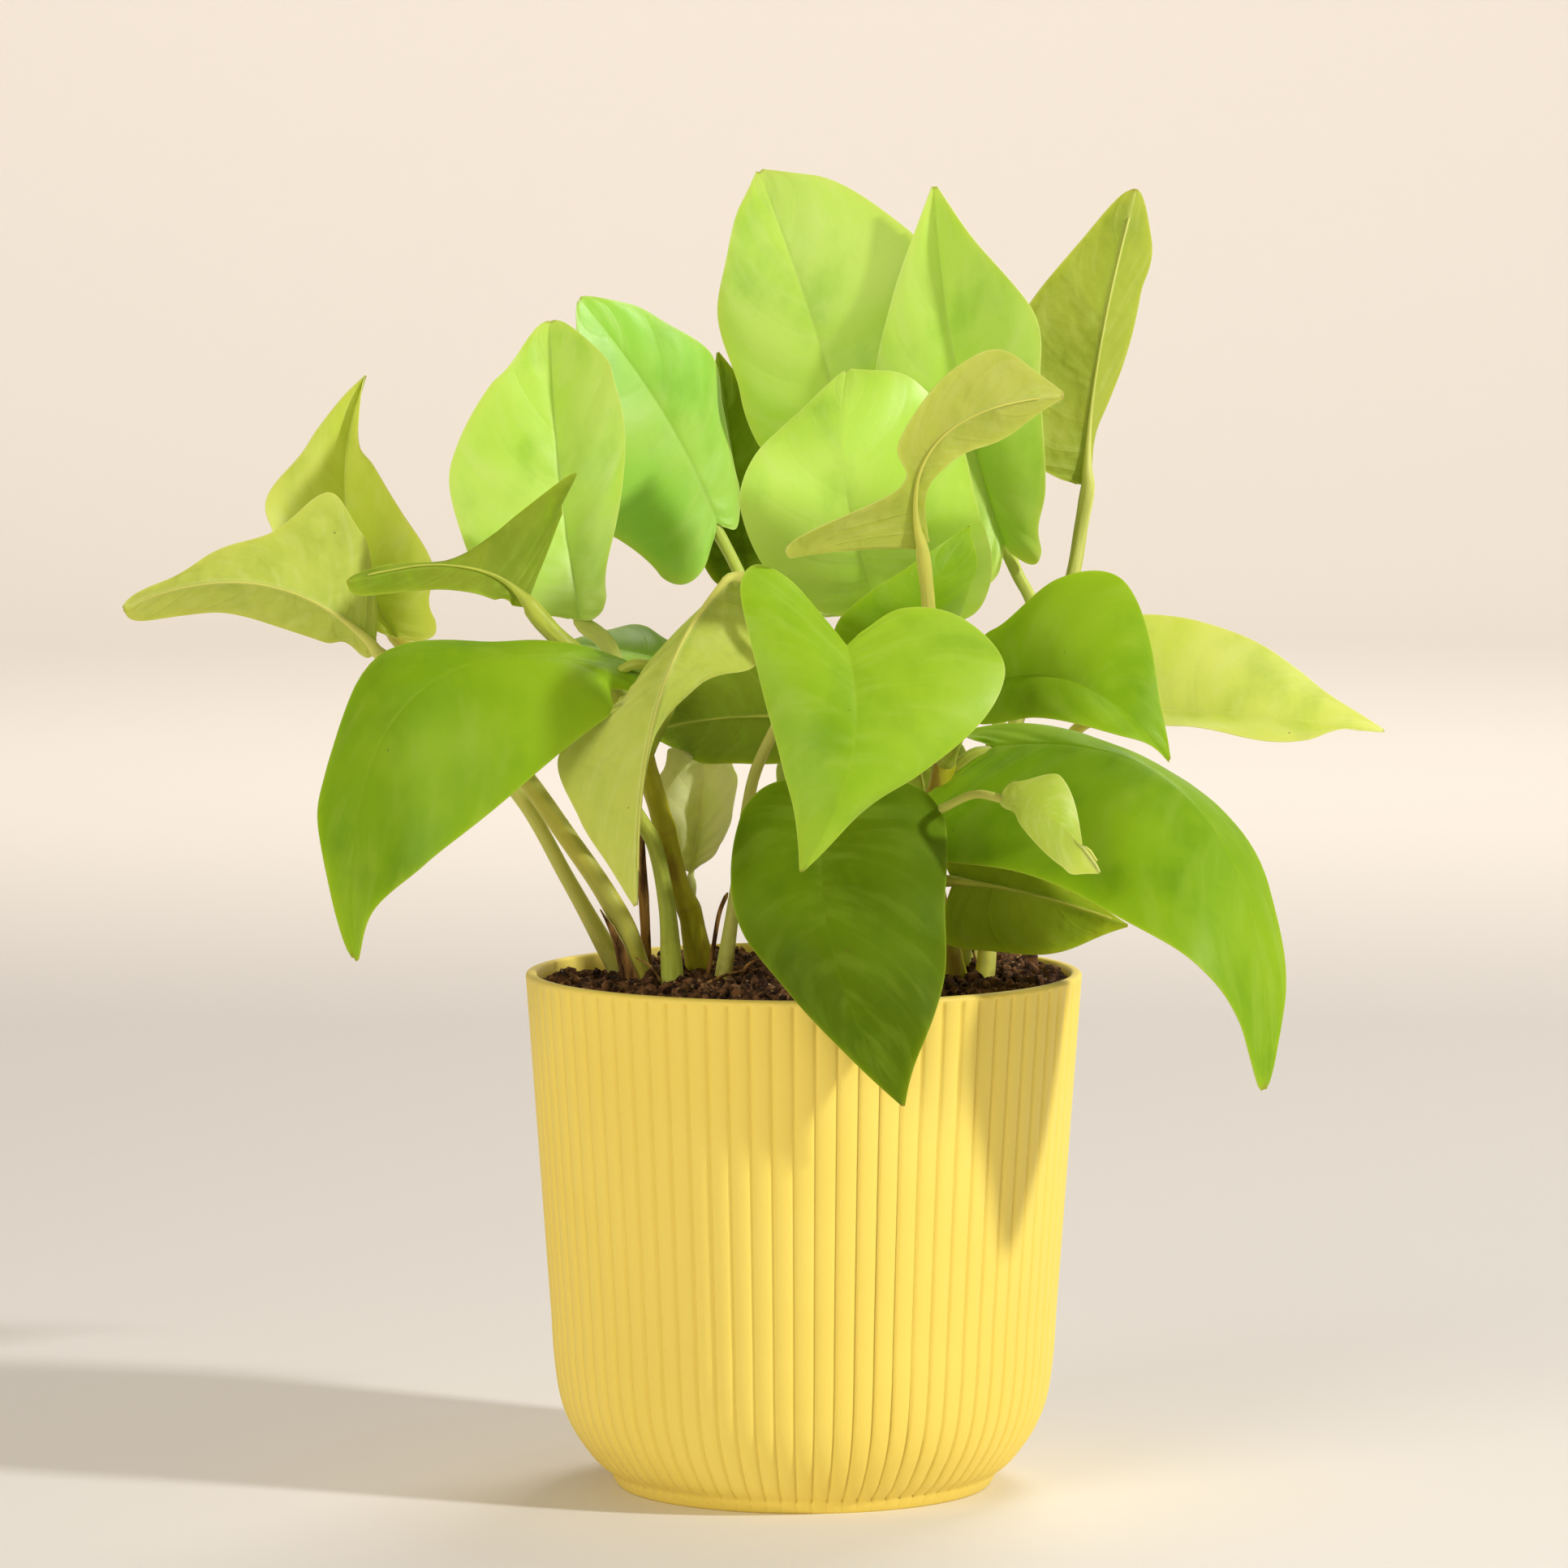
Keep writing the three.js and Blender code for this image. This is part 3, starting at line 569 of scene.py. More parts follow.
stemLook = {
    "step": 0.9,
    "sides": 16,
    "buriedHeight": 92,
    "nodeSwell": 0.1,
    "nodeLength": 1.6,
    "nodeStart": 9,           # nodes are counted from so far above a vine's buried end
    "tip": (0.985, 0.12),     # where a vine's end begins to round off, and how far
    "wobble": 0.05,
    "leastRise": 2,           # a stem's slant is taken over at least so many mm
    "mostSlant": 0.8,
    "green": "#b0ac1c",
    "lit": "#d0c83a",
    "scar": "#8a5a2a",
    "dryDark": "#50341a",
    "dryLight": "#b88a4a",
    "footSpread": 0.4,
    "spreadHeight": 11,
    "sheathGrid": (12, 10),
    "sheathWidths": (1.1, 0.08),
    "sheathReach": 1.1,
    "sheathStandOff": (0.25, 0.4),
    "sheathThickness": 0.15,
    "glow": dict(Subsurface_Scale=0.002, Subsurface_Radius=(1.0, 0.9, 0.2)),
    "streakSpread": (9, 7, 1),
    "streakFade": (0.35, 0.65, 0.05, 0.6),
    "scarFade": (0.002, 0.01, 0.18, 0),
    "patches": dict(scale=220, detail=5, stretch=(1, 1, 0.35), low=0.54, high=0.7, top=0.6),
    "grain": dict(scale=900, detail=4, stretch=(1, 1, 0.2), depth=0.00012),
    "bark": dict(scale=700, detail=6, stretch=(1, 1, 0.15), low=0.35, high=0.65),
    "barkGrain": dict(scale=1100, detail=6, stretch=(1, 1, 0.15), depth=0.0003),
}


def addSheath(bm, run, radius, length, turn, material):
    # a dry scale that clasps the foot of a stem: wide below, pointed above
    look = stemLook
    spots = gridOf(bm, *look["sheathGrid"])
    above = [spot for spot in run if spot.z > (soil["level"] - 1) * mm]
    lengths = [0.0]
    for low, high in zip(above, above[1:]):
        lengths.append(lengths[-1] + (high - low).length)
    near, far = look["sheathStandOff"]
    for vert, (along, across) in spots.items():
        i = min(range(len(above) - 1), key=lambda k: abs(lengths[k] - along * length * mm))
        ahead = (above[i + 1] - above[i]).normalized()
        side = ahead.cross(Vector((0, -1, 0))).normalized()
        front = side.cross(ahead)
        angle = turn + across * between(*look["sheathWidths"], along ** 1.3)
        away = radius * (look["sheathReach"] + spreadAt(above[i])) + (near + far * along ** 2) * mm
        out = front * math.cos(angle) + side * math.sin(angle)
        vert.co = between(above[i], above[i + 1], 0.5) + out * away
    faces = facesOf(spots)
    made = bmesh.ops.solidify(bm, geom=faces, thickness=look["sheathThickness"] * mm)
    faces += [part for part in made["geom"] if isinstance(part, bmesh.types.BMFace)]
    for face in set(faces):
        face.material_index = material
    bmesh.ops.recalc_face_normals(bm, faces=list(set(faces)))


def rooted(places):
    # a stem runs on into the soil the way it slants above it
    first, second = places[:2]
    slant = (first - second) / max(second.z - first.z, stemLook["leastRise"] * mm)
    slant *= min(1, stemLook["mostSlant"] / max(slant.xy.length, 0.01))
    depth = first.z - stemLook["buriedHeight"] * mm
    foot = Vector((first.x + slant.x * depth, first.y + slant.y * depth, first.z - depth))
    return [foot, *places]


def spreadAt(place):
    # stems widen towards the soil
    above = max(place.z / mm - soil["level"], 0)
    return stemLook["footSpread"] * math.exp(-(above / stemLook["spreadHeight"]) ** 2)


def makeVine(node, vine):
    look = stemLook
    run, length = smoothRun(rooted([seen(place) for place in vine["route"]]), look["step"] * mm)
    above = [(place - run[0]).length / mm for place in run]
    nodes = [spot + look["nodeStart"] for spot in vine["nodesAt"]]
    green = vine["skin"] == "vine"
    tipStart, tipLeast = look["tip"]
    bm = bmesh.new()
    bm.loops.layers.uv.new("stemMap")

    def radiusAt(along, angle):
        i = round(along * (len(run) - 1))
        swell = sum(math.exp(-((above[i] - spot) / look["nodeLength"]) ** 2) for spot in nodes)
        tip = math.sqrt(max(1 - easeIn(along, tipStart, 1.0), tipLeast))
        ripple = Vector((above[i] * 0.3, math.sin(angle), vine["radius"]))
        wave = look["wobble"] * noise.noise(ripple)
        foot = spreadAt(run[i]) if green else 0
        return vine["radius"] * mm * (1 + look["nodeSwell"] * swell + wave + foot) * tip

    addTube(bm, run, look["sides"], radiusAt, Vector((0, -1, 0)), 0)
    skin = vineSkin(node, [spot * mm / length for spot in nodes]) if green else drySkin(node)
    finishPiece(plainName(node), bm, [skin], [node])


def lengthStreaks(material, sheet):
    # fine streaks that run along a stem, from its own map
    inputs = {"Vector": sheet, "Scale": stemLook["streakSpread"]}
    spread = addNode(material, "Mapping", inputs).outputs[0]
    return fade(material, grainOf(material, spread), *stemLook["streakFade"])


def vineSkin(node, nodes):
    # green skin with pale streaks, and a brown ring scar at each node
    look = stemLook
    material = newMaterial(plainName(node) + "Skin", Roughness=0.5, Specular_IOR_Level=0.25,
                           Subsurface_Weight=0.2, **look["glow"])
    sheet = mapOf(material, "stemMap")
    along = axesOf(material, sheet)[0]
    scars = patchy(material, **look["patches"])
    for spot in nodes:
        away = calc(material, "ABSOLUTE", calc(material, "SUBTRACT", along, spot))
        scars = calc(material, "MAXIMUM", scars, fade(material, away, *look["scarFade"]))
    skin = mixed(material, lengthStreaks(material, sheet), look["green"], look["lit"])
    coat(material, Base_Color=mixed(material, scars, skin, look["scar"]))
    addGrain(material, **look["grain"])
    return material


def drySkin(node):
    look = stemLook
    material = newMaterial(plainName(node) + "Skin", Roughness=0.8, Specular_IOR_Level=0.25)
    bark = patchy(material, **look["bark"])
    coat(material, Base_Color=mixed(material, bark, look["dryDark"], look["dryLight"]))
    addGrain(material, **look["barkGrain"])
    return material


# The leaves

toneParts = ("upper", "warm", "under", "rim", "stalk", "gloss")
tones = {
    "lime": ("#cbdb50", "#d8e36c", "#bcc660", "#dce68c", "#dcd454", 0.4),
    "bright": ("#b7e24b", "#c4e962", "#b4c45a", "#d4ec88", "#d4e068", 0.45),
    "fresh": ("#9edb46", "#b4e25c", "#a8bc54", "#c8e880", "#c8d85a", 0.5),
    "mid": ("#90b81c", "#9fc32a", "#9fae48", "#b4cf58", "#c6d050", 0.22),
    "green": ("#7ea610", "#90b41c", "#8c9c2c", "#a6c048", "#c6cf52", 0.14),
    "moss": ("#88a416", "#94b022", "#9aaa28", "#a6b848", "#c0c04a", 0.07),
    # the deep tone is a darker copy of the green ones, painted shade for leaves that hang in the
    # shade of others
    "deep": ("#526a04", "#607c0a", "#6c7a14", "#86a032", "#b4b030", 0.07),
    "pale": ("#b0c83c", "#bed052", "#c5cf5e", "#dae28e", "#dcda70", 0.35),
    "olive": ("#9cb432", "#acc04a", "#a9b442", "#c8d078", "#e0e47c", 0.25),
    "blush": ("#9cb432", "#acc04a", "#b2b64e", "#c6c878", "#d0ce5c", 0.25),
    # the cream tone is a young leaf's own pale colour, lightened further as painted light shining
    # through it
    "cream": ("#eef29c", "#fcfcc0", "#e8ee96", "#eef0b8", "#c6cc78", 0.4),
}
leafLook = {
    "rows": 84,
    "cells": 48,
    "columnSpread": 1.4,     # columns lie closer together near the midrib
    "thickness": 0.42,
    "rimThickness": 0.16,
    "arch": 0.06,
    "ribDepth": 0.13,
    "ribWidth": 0.7,
    "veins": 7,
    "veinSweep": (0.09, 0.07),
    "halfShift": 0.37,       # the veins of a blade's two halves don't meet
    "quilt": 0.14,
    "edgeWave": 0.5,
    "edgeWaves": 3.2,
    "waveShift": 0.3,
    "bumps": [(0.9, 45, 0.7), (0.1, 170, 0.5)],   # how high, how fine, how soon from the midrib
}
stalkLook = {
    "step": 1.1,
    "sides": 14,
    "widths": (1.08, 0.86),      # of the leaf's own stalk, below and above
    "notchGap": 0.1,
    "swell": 0.08,
    "swellPlace": 3,             # so many mm below the blade
    "swellLength": 2.6,
    "flare": 0.35,               # where it leaves a vine
    "flareLength": 3,
    "groove": 0.16,
    "grooveWidth": 0.45,
    "ridge": (0.06, 0.93),       # the raised midrib starts and ends so far along the blade
    "ridgeDepth": 1.15,
    "ridgeRadius": 0.22,
}
# Half of a leaf's outline, notch to tip: a row starts on the midrib at the first number, and
# meets the margin so far along (0 base, 1 tip) and so far out (0 midrib, 1 widest).
outline = [(0, -0.06, 0.12), (0.05, -0.15, 0.42), (0.12, -0.13, 0.75), (0.22, 0.02, 0.97),
           (0.34, 0.22, 1), (0.5, 0.46, 0.86), (0.68, 0.68, 0.57), (0.86, 0.87, 0.24), (1, 1, 0.02)]
outlineKnots = [Vector(row) for row in ((-0.05, 0.03, -0.18), *outline, (1.14, 1.13, -0.2))]
anchorRows = {"root": 3 / 8, "side": 4 / 8, "mid": 5 / 8, "far": 6 / 8, "last": 7 / 8}
# Each leaf as in the front view: the midrib's base, middle and tip, places on the margins of its
# halves A and B, and the route of its stalk from a vine or else the soil. The upper face is at
# the front where nothing else is said.
leaves = {
    "leaf_left_low": dict(
        base=(-84.5, 166, -6), mid=(-107, 178.6, -15), tip=(-134, 173.8, -10),
        rootA=(-87, 188.5, -6), sideA=(-93.5, 196.5, -11), midA=(-105, 188.5, -13),
        farA=(-116.5, 184.5, -13), lastA=(-126, 179, -12),
        rootB=(-88.5, 165.8, -5), sideB=(-94.5, 167.2, -7), farB=(-115, 172.6, -9),
        lastB=(-126, 171.8, -9),
        upper="back", tone="pale", lobes=0.18, blunt=0.18, relief=0.6, stalk=1.5,
        route=[(-39, 106.5, 8), (-46.5, 120, 6), (-56, 136.5, 3), (-69.5, 150.5, -1),
               (-78.5, 161, -4)]),
    "leaf_left_tall": dict(
        base=(-80, 168, 8), mid=(-90, 193.5, 16), tip=(-86, 219.5, 15),
        sideA=(-105.5, 191, 7), farA=(-97, 206.5, 10),
        rootB=(-73, 172.5, 3), sideB=(-73, 181.5, 2), midB=(-77.5, 190.5, 5),
        farB=(-84.5, 201.5, 9),
        lastB=(-88, 209.5, 13),
        tone="lime", lobes=0.3, stalk=2, sheath=(17, -0.95),
        route=[(-33, 101.5, -4), (-35.5, 110.5, -5), (-39.5, 118, -6), (-47, 129, -7),
               (-54, 139, -6), (-69, 157.5, 2)]),
    "leaf_left_broad": dict(
        base=(-44, 171.5, -18), mid=(-48, 200.5, -10), tip=(-49.8, 230.2, -4),
        rootA=(-64.5, 180.5, -20), sideA=(-69.5, 196, -14), midA=(-68, 206, -11),
        farA=(-61.5, 217.3, -8), lastA=(-56.3, 223.2, -6),
        rootB=(-39, 177.5, -18), sideB=(-37, 190, -17), farB=(-37, 217.5, -12),
        lastB=(-41.2, 225, -9),
        tone="bright", lobes=0.25, blunt=0.04, stalk=1.8, vine="vine_left",
        route=[(-36.5, 157.5, -18), (-37, 162, -20), (-39, 167, -19)]),
    "leaf_left_folded": dict(
        base=(-55, 174, -32), mid=(-67, 181.5, -36), tip=(-90, 178.9, -38),
        rootA=(-47.5, 193.3, -25), sideA=(-45, 200.5, -28), midA=(-56, 192.5, -31),
        farA=(-69.3, 183.4, -34.5),
        lastA=(-82.5, 182.2, -36),
        rootB=(-58, 174.9, -34), sideB=(-61, 175.4, -38), farB=(-72, 177.5, -40),
        lastB=(-83, 176.6, -39),
        upper="back", tone="green", lobes=0.03, blunt=0.25, relief=0.5, stalk=2, vine="vine_left",
        route=[(-35, 152.5, -15), (-39, 158.5, -25), (-44.5, 164.5, -30), (-49.5, 169, -32)]),
    "leaf_left_drooping": dict(
        base=(-30.5, 160.5, -42), mid=(-77, 156, -50), tip=(-89, 104.5, -48),
        rootA=(-33.5, 157.5, -46), sideA=(-39, 152, -53), farA=(-74, 122, -58),
        lastA=(-85, 111.5, -53),
        sideB=(-58.5, 167, -38), midB=(-84.5, 163.5, -40), farB=(-94.5, 138, -42),
        lastB=(-94, 121, -46),
        tone="green", lobes=0.1, blunt=0.03, stalk=1.6,
        route=[(-26, 101, -12), (-27, 114.5, -6), (-29.5, 127, -8), (-34, 135.5, -16),
               (-33, 146.5, -28), (-29.5, 154.5, -36)]),
    "leaf_left_behind": dict(
        base=(-25, 163, 0), mid=(-36, 165.5, -2), tip=(-47, 166.8, -4),
        rootA=(-26, 167, 8), sideA=(-31, 170.3, 12), farA=(-39, 168.9, 4),
        rootB=(-28, 158, -10), sideB=(-33.5, 157, -14),
        tone="mid", lobes=0.2, relief=0.5, stalk=1.4, vine="vine_left",
        route=[(-31.5, 144.5, -9), (-28, 151, -4), (-25.5, 157.5, 0)]),
    "leaf_centre_pale": dict(
        base=(-14, 179.5, -45), mid=(-29, 154.5, -55), tip=(-33, 115, -52),
        sideA=(-34.5, 156, -52), midA=(-48, 144.5, -51), farA=(-43.5, 132, -53),
        sideB=(-9, 163, -40), midB=(-21, 159, -46), farB=(-30.5, 144.5, -50),
        upper="back", tone="pale", lobes=0.2, stalk=1.2,
        route=[(-15, 107, -8), (-12.5, 124, -9), (-11, 135, -11), (-9.5, 141.5, -14),
               (-4.5, 152.5, -24), (0, 166, -42), (-4, 177.5, -50)]),
    "leaf_centre_shaded": dict(
        base=(1.5, 152.5, -12), mid=(-17, 152, -4), tip=(-31, 149, 8),
        sideA=(-11, 165.5, -8), farA=(-24.5, 156, 3),
        sideB=(-11, 143, -6), farB=(-23.5, 144.5, 3),
        upper="back", tone="green", lobes=0.5, stalk=1.4, vine="vine_middle",
        route=[(9, 138, -17), (6, 146, -13)]),
    "leaf_front_heart": dict(
        base=(8.5, 166.5, -72), mid=(9.5, 144, -85), tip=(-0.5, 121.5, -84),
        rootA=(-12.5, 178.3, -69), sideA=(-10.6, 168, -74), farA=(-4.3, 142, -81),
        lastA=(-1.6, 131, -83),
        rootB=(37.5, 166, -69), sideB=(39.3, 159, -73), farB=(22.3, 140.3, -81),
        lastB=(8.4, 130.2, -83),
        tone="mid", lobes=1, relief=0.6, stalk=1.6, vine="vine_middle",
        route=[(10.5, 145.5, -22), (10, 153, -40), (9.5, 161.5, -60)]),
    "leaf_front_low": dict(
        base=(5, 137.5, -43), mid=(5.5, 107, -62), tip=(19.5, 75, -62),
        sideA=(-14.5, 120, -56), farA=(-2.5, 96.5, -60),
        sideB=(28, 118.5, -53), farB=(25.5, 92.5, -59),
        # its deep tone is painted shade, as it hangs under the front heart leaf
        tone="deep", lobes=0.5, relief=0.8, stalk=1.5, vine="vine_middle",
        route=[(8, 133.5, -15), (6, 138.5, -28), (5, 140.5, -38)]),
    "leaf_right_near": dict(
        base=(36, 159, -30), mid=(55, 158.5, -48), tip=(72, 143.5, -52),
        rootA=(38, 169.5, -31), sideA=(49.5, 179.5, -35), midA=(62.5, 179, -35),
        farA=(69, 165.5, -42),
        sideB=(43.5, 152, -48), farB=(63, 148.5, -57),
        tone="green", lobes=0.6, stalk=1.5, vine="vine_right",
        route=[(27.5, 143, -16), (30, 148, -22), (33.5, 154.5, -27)]),
    "leaf_right_lime": dict(
        base=(64, 154.5, 0), mid=(89, 152.5, 2), tip=(114.5, 149.5, 8),
        sideA=(74.5, 172, 6), midA=(88, 167.3, 7), farA=(97.5, 161, 7), lastA=(106.4, 154.4, 7),
        sideB=(75, 150.5, -8), farB=(99, 147.5, 0), lastB=(108, 149.8, 5),
        tone="lime", lobes=0.5, relief=0.5, stalk=1.4,
        route=[(36, 103, 3), (37.5, 117.5, 5), (42, 130.5, 7), (48.5, 141.5, 8), (53.5, 149.5, 8),
               (59, 152.5, 4)]),
    "leaf_right_large": dict(
        base=(37.5, 146.5, -12), mid=(79, 133, -40), tip=(91.5, 78.5, -57),
        sideA=(37.5, 122.5, -38), farA=(76, 102.5, -62),
        sideB=(54.5, 149, -12), farB=(91.5, 118.5, -38), lastB=(95, 93, -49),
        tone="green", lobes=0.2, blunt=0.03, stalk=1.7, vine="vine_right",
        route=[(25.5, 132.5, -12), (29, 140, -12), (33.5, 144.5, -12)]),
    "leaf_right_small": dict(
        base=(39, 136, -55), mid=(50, 131.5, -60), tip=(58.5, 121.5, -62),
        rootA=(40.5, 133.8, -56), sideA=(42.8, 130.8, -58), farA=(50.8, 122.6, -61),
        lastA=(54.6, 120.9, -62),
        rootB=(42, 139.5, -55), sideB=(50.5, 140.8, -55), farB=(55, 127.5, -59),
        lastB=(55.9, 124, -61),
        tone="pale", lobes=0.2, relief=0.4, stalk=0.9, vine="vine_middle",
        route=[(9, 133.5, -16), (15, 132, -27), (22.5, 131.5, -34), (28, 134.5, -42),
               (34.5, 137, -51)]),
    "leaf_right_under": dict(
        base=(29.5, 119.5, -13), mid=(45, 117, -13), tip=(64, 111, -16),
        sideA=(34.5, 106, -14), farA=(53, 106.5, -15),
        sideB=(35, 128, -8), farB=(53, 118.5, -12),
        upper="back", tone="moss", lobes=0.3, relief=0.5, stalk=1.2, vine="vine_right",
        route=[(25, 121.5, -5), (27, 120, -10)]),
    "leaf_top_centre": dict(
        base=(9.5, 204, 14), mid=(1.5, 230.5, 12), tip=(-8.8, 259.4, 20),
        sideA=(-12.5, 216.5, 16), midA=(-17, 231, 17), farA=(-14.7, 243.5, 18),
        lastA=(-11.7, 254.2, 19),
        sideB=(29, 221.5, 9.5), farB=(19.5, 249, 13), lastB=(1.5, 258.8, 18),
        tone="bright", lobes=0.6, stalk=1.6,
        route=[(1.5, 103, 8), (6.5, 133.5, 2), (8, 156, -2), (9.5, 175, 2), (10, 191, 8)]),
    "leaf_top_right": dict(
        base=(39.5, 186, 2), mid=(30, 220.5, 5), tip=(25.5, 256.5, 6),
        rootA=(33.5, 181, -1), sideA=(17, 204, 4.5), farA=(17.5, 234.5, 6),
        rootB=(46.5, 186.5, -2), sideB=(47.5, 197.5, -3), midB=(46.6, 218, -3.5),
        farB=(43.5, 234.5, -2),
        tone="bright", lobes=0.3, stalk=1.4,
        route=[(31, 103, 8), (32, 117.5, 7), (34, 133.5, 8), (38.5, 151, 6), (43, 162.5, 4),
               (45, 174, 2), (42, 180.5, 1)]),
    "leaf_centre_round": dict(
        base=(14, 175.5, -8), mid=(8, 199, -22), tip=(8.3, 220.4, -12),
        sideA=(-12.5, 193.5, -25), farA=(-3.4, 210.6, -16), lastA=(2.4, 215.6, -14),
        sideB=(35, 191, -20), farB=(25, 215.3, -10), lastB=(15.5, 220.5, -11),
        tone="bright", lobes=0.9, stalk=1.5, vine="vine_middle",
        route=[(14, 160.5, -30), (15, 167, -20), (15, 172, -12)]),
    "leaf_centre_turned": dict(
        base=(22.5, 185.5, -52), mid=(26.5, 207, -58), tip=(51, 215.5, -48),
        rootA=(-3.5, 184.5, -68), sideA=(19, 197.5, -59), midA=(19, 207, -60),
        farA=(30.5, 221, -56),
        lastA=(43, 222.3, -51),
        rootB=(24.5, 188, -52), sideB=(24, 195.5, -56), midB=(27, 200.5, -57),
        farB=(33, 204.4, -55),
        lastB=(43.5, 209.5, -51),
        upper="back", tone="blush", lobes=0, relief=0.12, stalk=1.5, vine="vine_middle",
        route=[(12, 150.5, -26), (19, 156, -38), (24.5, 165.5, -46), (24.5, 174.5, -49)]),
    "leaf_centre_tucked": dict(
        base=(21, 165.5, -30), mid=(25.5, 177.5, -38), tip=(32.5, 190, -30),
        sideA=(7, 171.5, -42), farA=(21.5, 183, -38),
        sideB=(32, 176, -28), farB=(33.5, 183, -29),
        tone="green", lobes=0.3, stalk=1.2, vine="vine_middle",
        route=[(13, 155, -28), (17.5, 160, -30)]),
    "leaf_far_right": dict(
        base=(55, 198, 18), mid=(57.5, 223, 20), tip=(65, 256, 24),
        rootA=(44.6, 204.5, 15), sideA=(43.5, 213, 16), farA=(47, 236.5, 20),
        rootB=(56.5, 200, 19), sideB=(58, 210, 24), farB=(66.5, 235.5, 26), lastB=(68.5, 247, 26),
        upper="back", tone="olive", lobes=0.2, blunt=0.05, stalk=1.6,
        route=[(33.5, 104, 16), (34.5, 120.5, 15), (36.5, 133.5, 14), (41, 148.5, 12),
               (44, 157.5, 12), (49.5, 169.5, 14), (53, 180.5, 16), (54.5, 189.5, 18)]),
    "leaf_back_left": dict(
        base=(-17, 190.5, 16), mid=(-27.5, 212, 10), tip=(-44, 234.5, 4),
        rootA=(-28.5, 180.5, 10), sideA=(-36, 187, 8), farA=(-45.5, 204, 0),
        rootB=(-13.5, 199, 20), sideB=(-15.5, 212.5, 20), midB=(-18.5, 223.5, 17),
        farB=(-28, 230, 12),
        lastB=(-36.5, 234, 8),
        tone="fresh", lobes=0.7, blunt=0.02, stalk=1.4,
        route=[(-6.5, 102.5, 8), (-2.5, 120.5, 9), (-1, 133.5, 10), (-2.5, 146.5, 12),
               (-7, 162.5, 15), (-12.5, 180, 18)]),
    "leaf_back_dark": dict(
        base=(-11.5, 179, 32), mid=(-13.5, 200.5, 34), tip=(-17, 224, 38),
        sideA=(-20.5, 191, 34), farA=(-19, 210.5, 36),
        sideB=(-1, 194.5, 36), farB=(-6.5, 212, 38),
        # its deep tone is painted shade, as it sits deep among the leaves
        tone="deep", lobes=0.4, stalk=1.3,
        route=[(0, 104.5, 18), (1.5, 125.5, 20), (-0.5, 149.5, 24), (-7, 168, 30)]),
    "leaf_young": dict(
        base=(-22.3, 121.5, 5), mid=(-20.5, 133, 10), tip=(-19.5, 143.6, 4),
        sideA=(-28, 131.5, 1), farA=(-28.5, 141, 2),
        sideB=(-14.4, 133, 1), farB=(-14, 142, 3),
        # its cream tone is partly painted light: a young leaf's pale colour, lightened as if lit
        # through
        tone="cream", lobes=0.2, blunt=0.35, relief=2, stalk=0.8, vine="vine_left",
        route=[(-23, 114, 1), (-22, 119, 4)]),
    "leaf_rear_high": dict(
        base=(3, 172, 55), mid=(-1, 183, 72), tip=(-5, 197.5, 80),
        sideA=(-9.5, 184.5, 62),
        sideB=(14.5, 184.5, 66),
        upper="back", tone="fresh", lobes=0.8, stalk=1.5,
        route=[(6.5, 103, 28), (5, 133.5, 34), (4.5, 156, 44)]),
    "leaf_rear_right": dict(
        base=(19, 154.5, 45), mid=(22.5, 144.5, 75), tip=(25.5, 124, 92),
        sideA=(13.5, 141.5, 62),
        sideB=(33.5, 143, 66),
        upper="back", tone="green", lobes=0.8, stalk=1.5,
        route=[(16, 103, 26), (17.5, 133.5, 34), (18.5, 148, 40)]),
    "leaf_rear_low": dict(
        base=(1.5, 149.5, 52), mid=(-1, 136.5, 82), tip=(-2.5, 117.5, 96),
        sideA=(-5.5, 139, 68),
        sideB=(11, 140, 70),
        upper="back", tone="green", lobes=0.8, stalk=1.4,
        route=[(2.5, 103, 32), (2, 125.5, 38), (2, 141.5, 45)]),
}


def toneOf(name):
    return dict(zip(toneParts, tones[name]))


def outlineRow(along):
    at = min(max(along, 0), 1) * (len(outline) - 1)
    low = min(int(at), len(outline) - 2)
    first, second, third, fourth = outlineKnots[low:low + 4]
    t = at - low
    square = first * 2 - second * 5 + third * 4 - fourth
    cube = second * 3 - first - third * 3 + fourth
    return 0.5 * (second * 2 + (third - first) * t + square * t ** 2 + cube * t ** 3)


def leafRow(leaf, along):
    # the outline's row for this leaf: wider and rounded towards a blunt tip
    start, edge, most = outlineRow(along)
    late = (along - 0.72) / 0.28
    if late > 0:
        most += leaf.get("blunt", 0) * 3.5 * late ** 2 * math.sqrt(max(1 - late, 0))
    return start, edge, most


def ribLine(leaf):
    base, mid, tip = (seen(leaf[key]) for key in ("base", "mid", "tip"))
    pull = mid * 2 - (base + tip) / 2

    def point(along):
        if along < 0:
            return base + (pull - base) * 2 * along
        along = min(along, 1)
        return base * (1 - along) ** 2 + pull * 2 * along * (1 - along) + tip * along ** 2
    return point


def upperSide(leaf):
    across = seen(leaf["sideB"]) - seen(leaf["sideA"])
    up = across.cross(seen(leaf["tip"]) - seen(leaf["base"])).normalized()
    facesEye = up.dot(inMetres(stage["eye"]) - seen(leaf["mid"])) > 0
    return up if facesEye == (leaf.get("upper", "front") == "front") else -up


def widthCurve(anchors):
    # the width of half a blade, eased through the given places and level beyond them
    slopes = [Vector((0, 0, 0)) for anchor in anchors]
    for i in range(1, len(anchors) - 1):
        (low, first), (high, second) = anchors[i - 1], anchors[i + 1]
        slopes[i] = (second - first) / (high - low)

    def width(along):
        if along <= anchors[0][0]:
            return anchors[0][1]
        if along >= anchors[-1][0]:
            return anchors[-1][1]
        i = max(k for k in range(len(anchors) - 1) if anchors[k][0] <= along)
        (low, first), (high, second) = anchors[i], anchors[i + 1]
        span = high - low
        t = (along - low) / span
        return (first * (2 * t ** 3 - 3 * t ** 2 + 1) + slopes[i] * span * (t ** 3 - 2 * t ** 2 + t)
                + second * (3 * t ** 2 - 2 * t ** 3) + slopes[i + 1] * span * (t ** 3 - t ** 2))
    return width


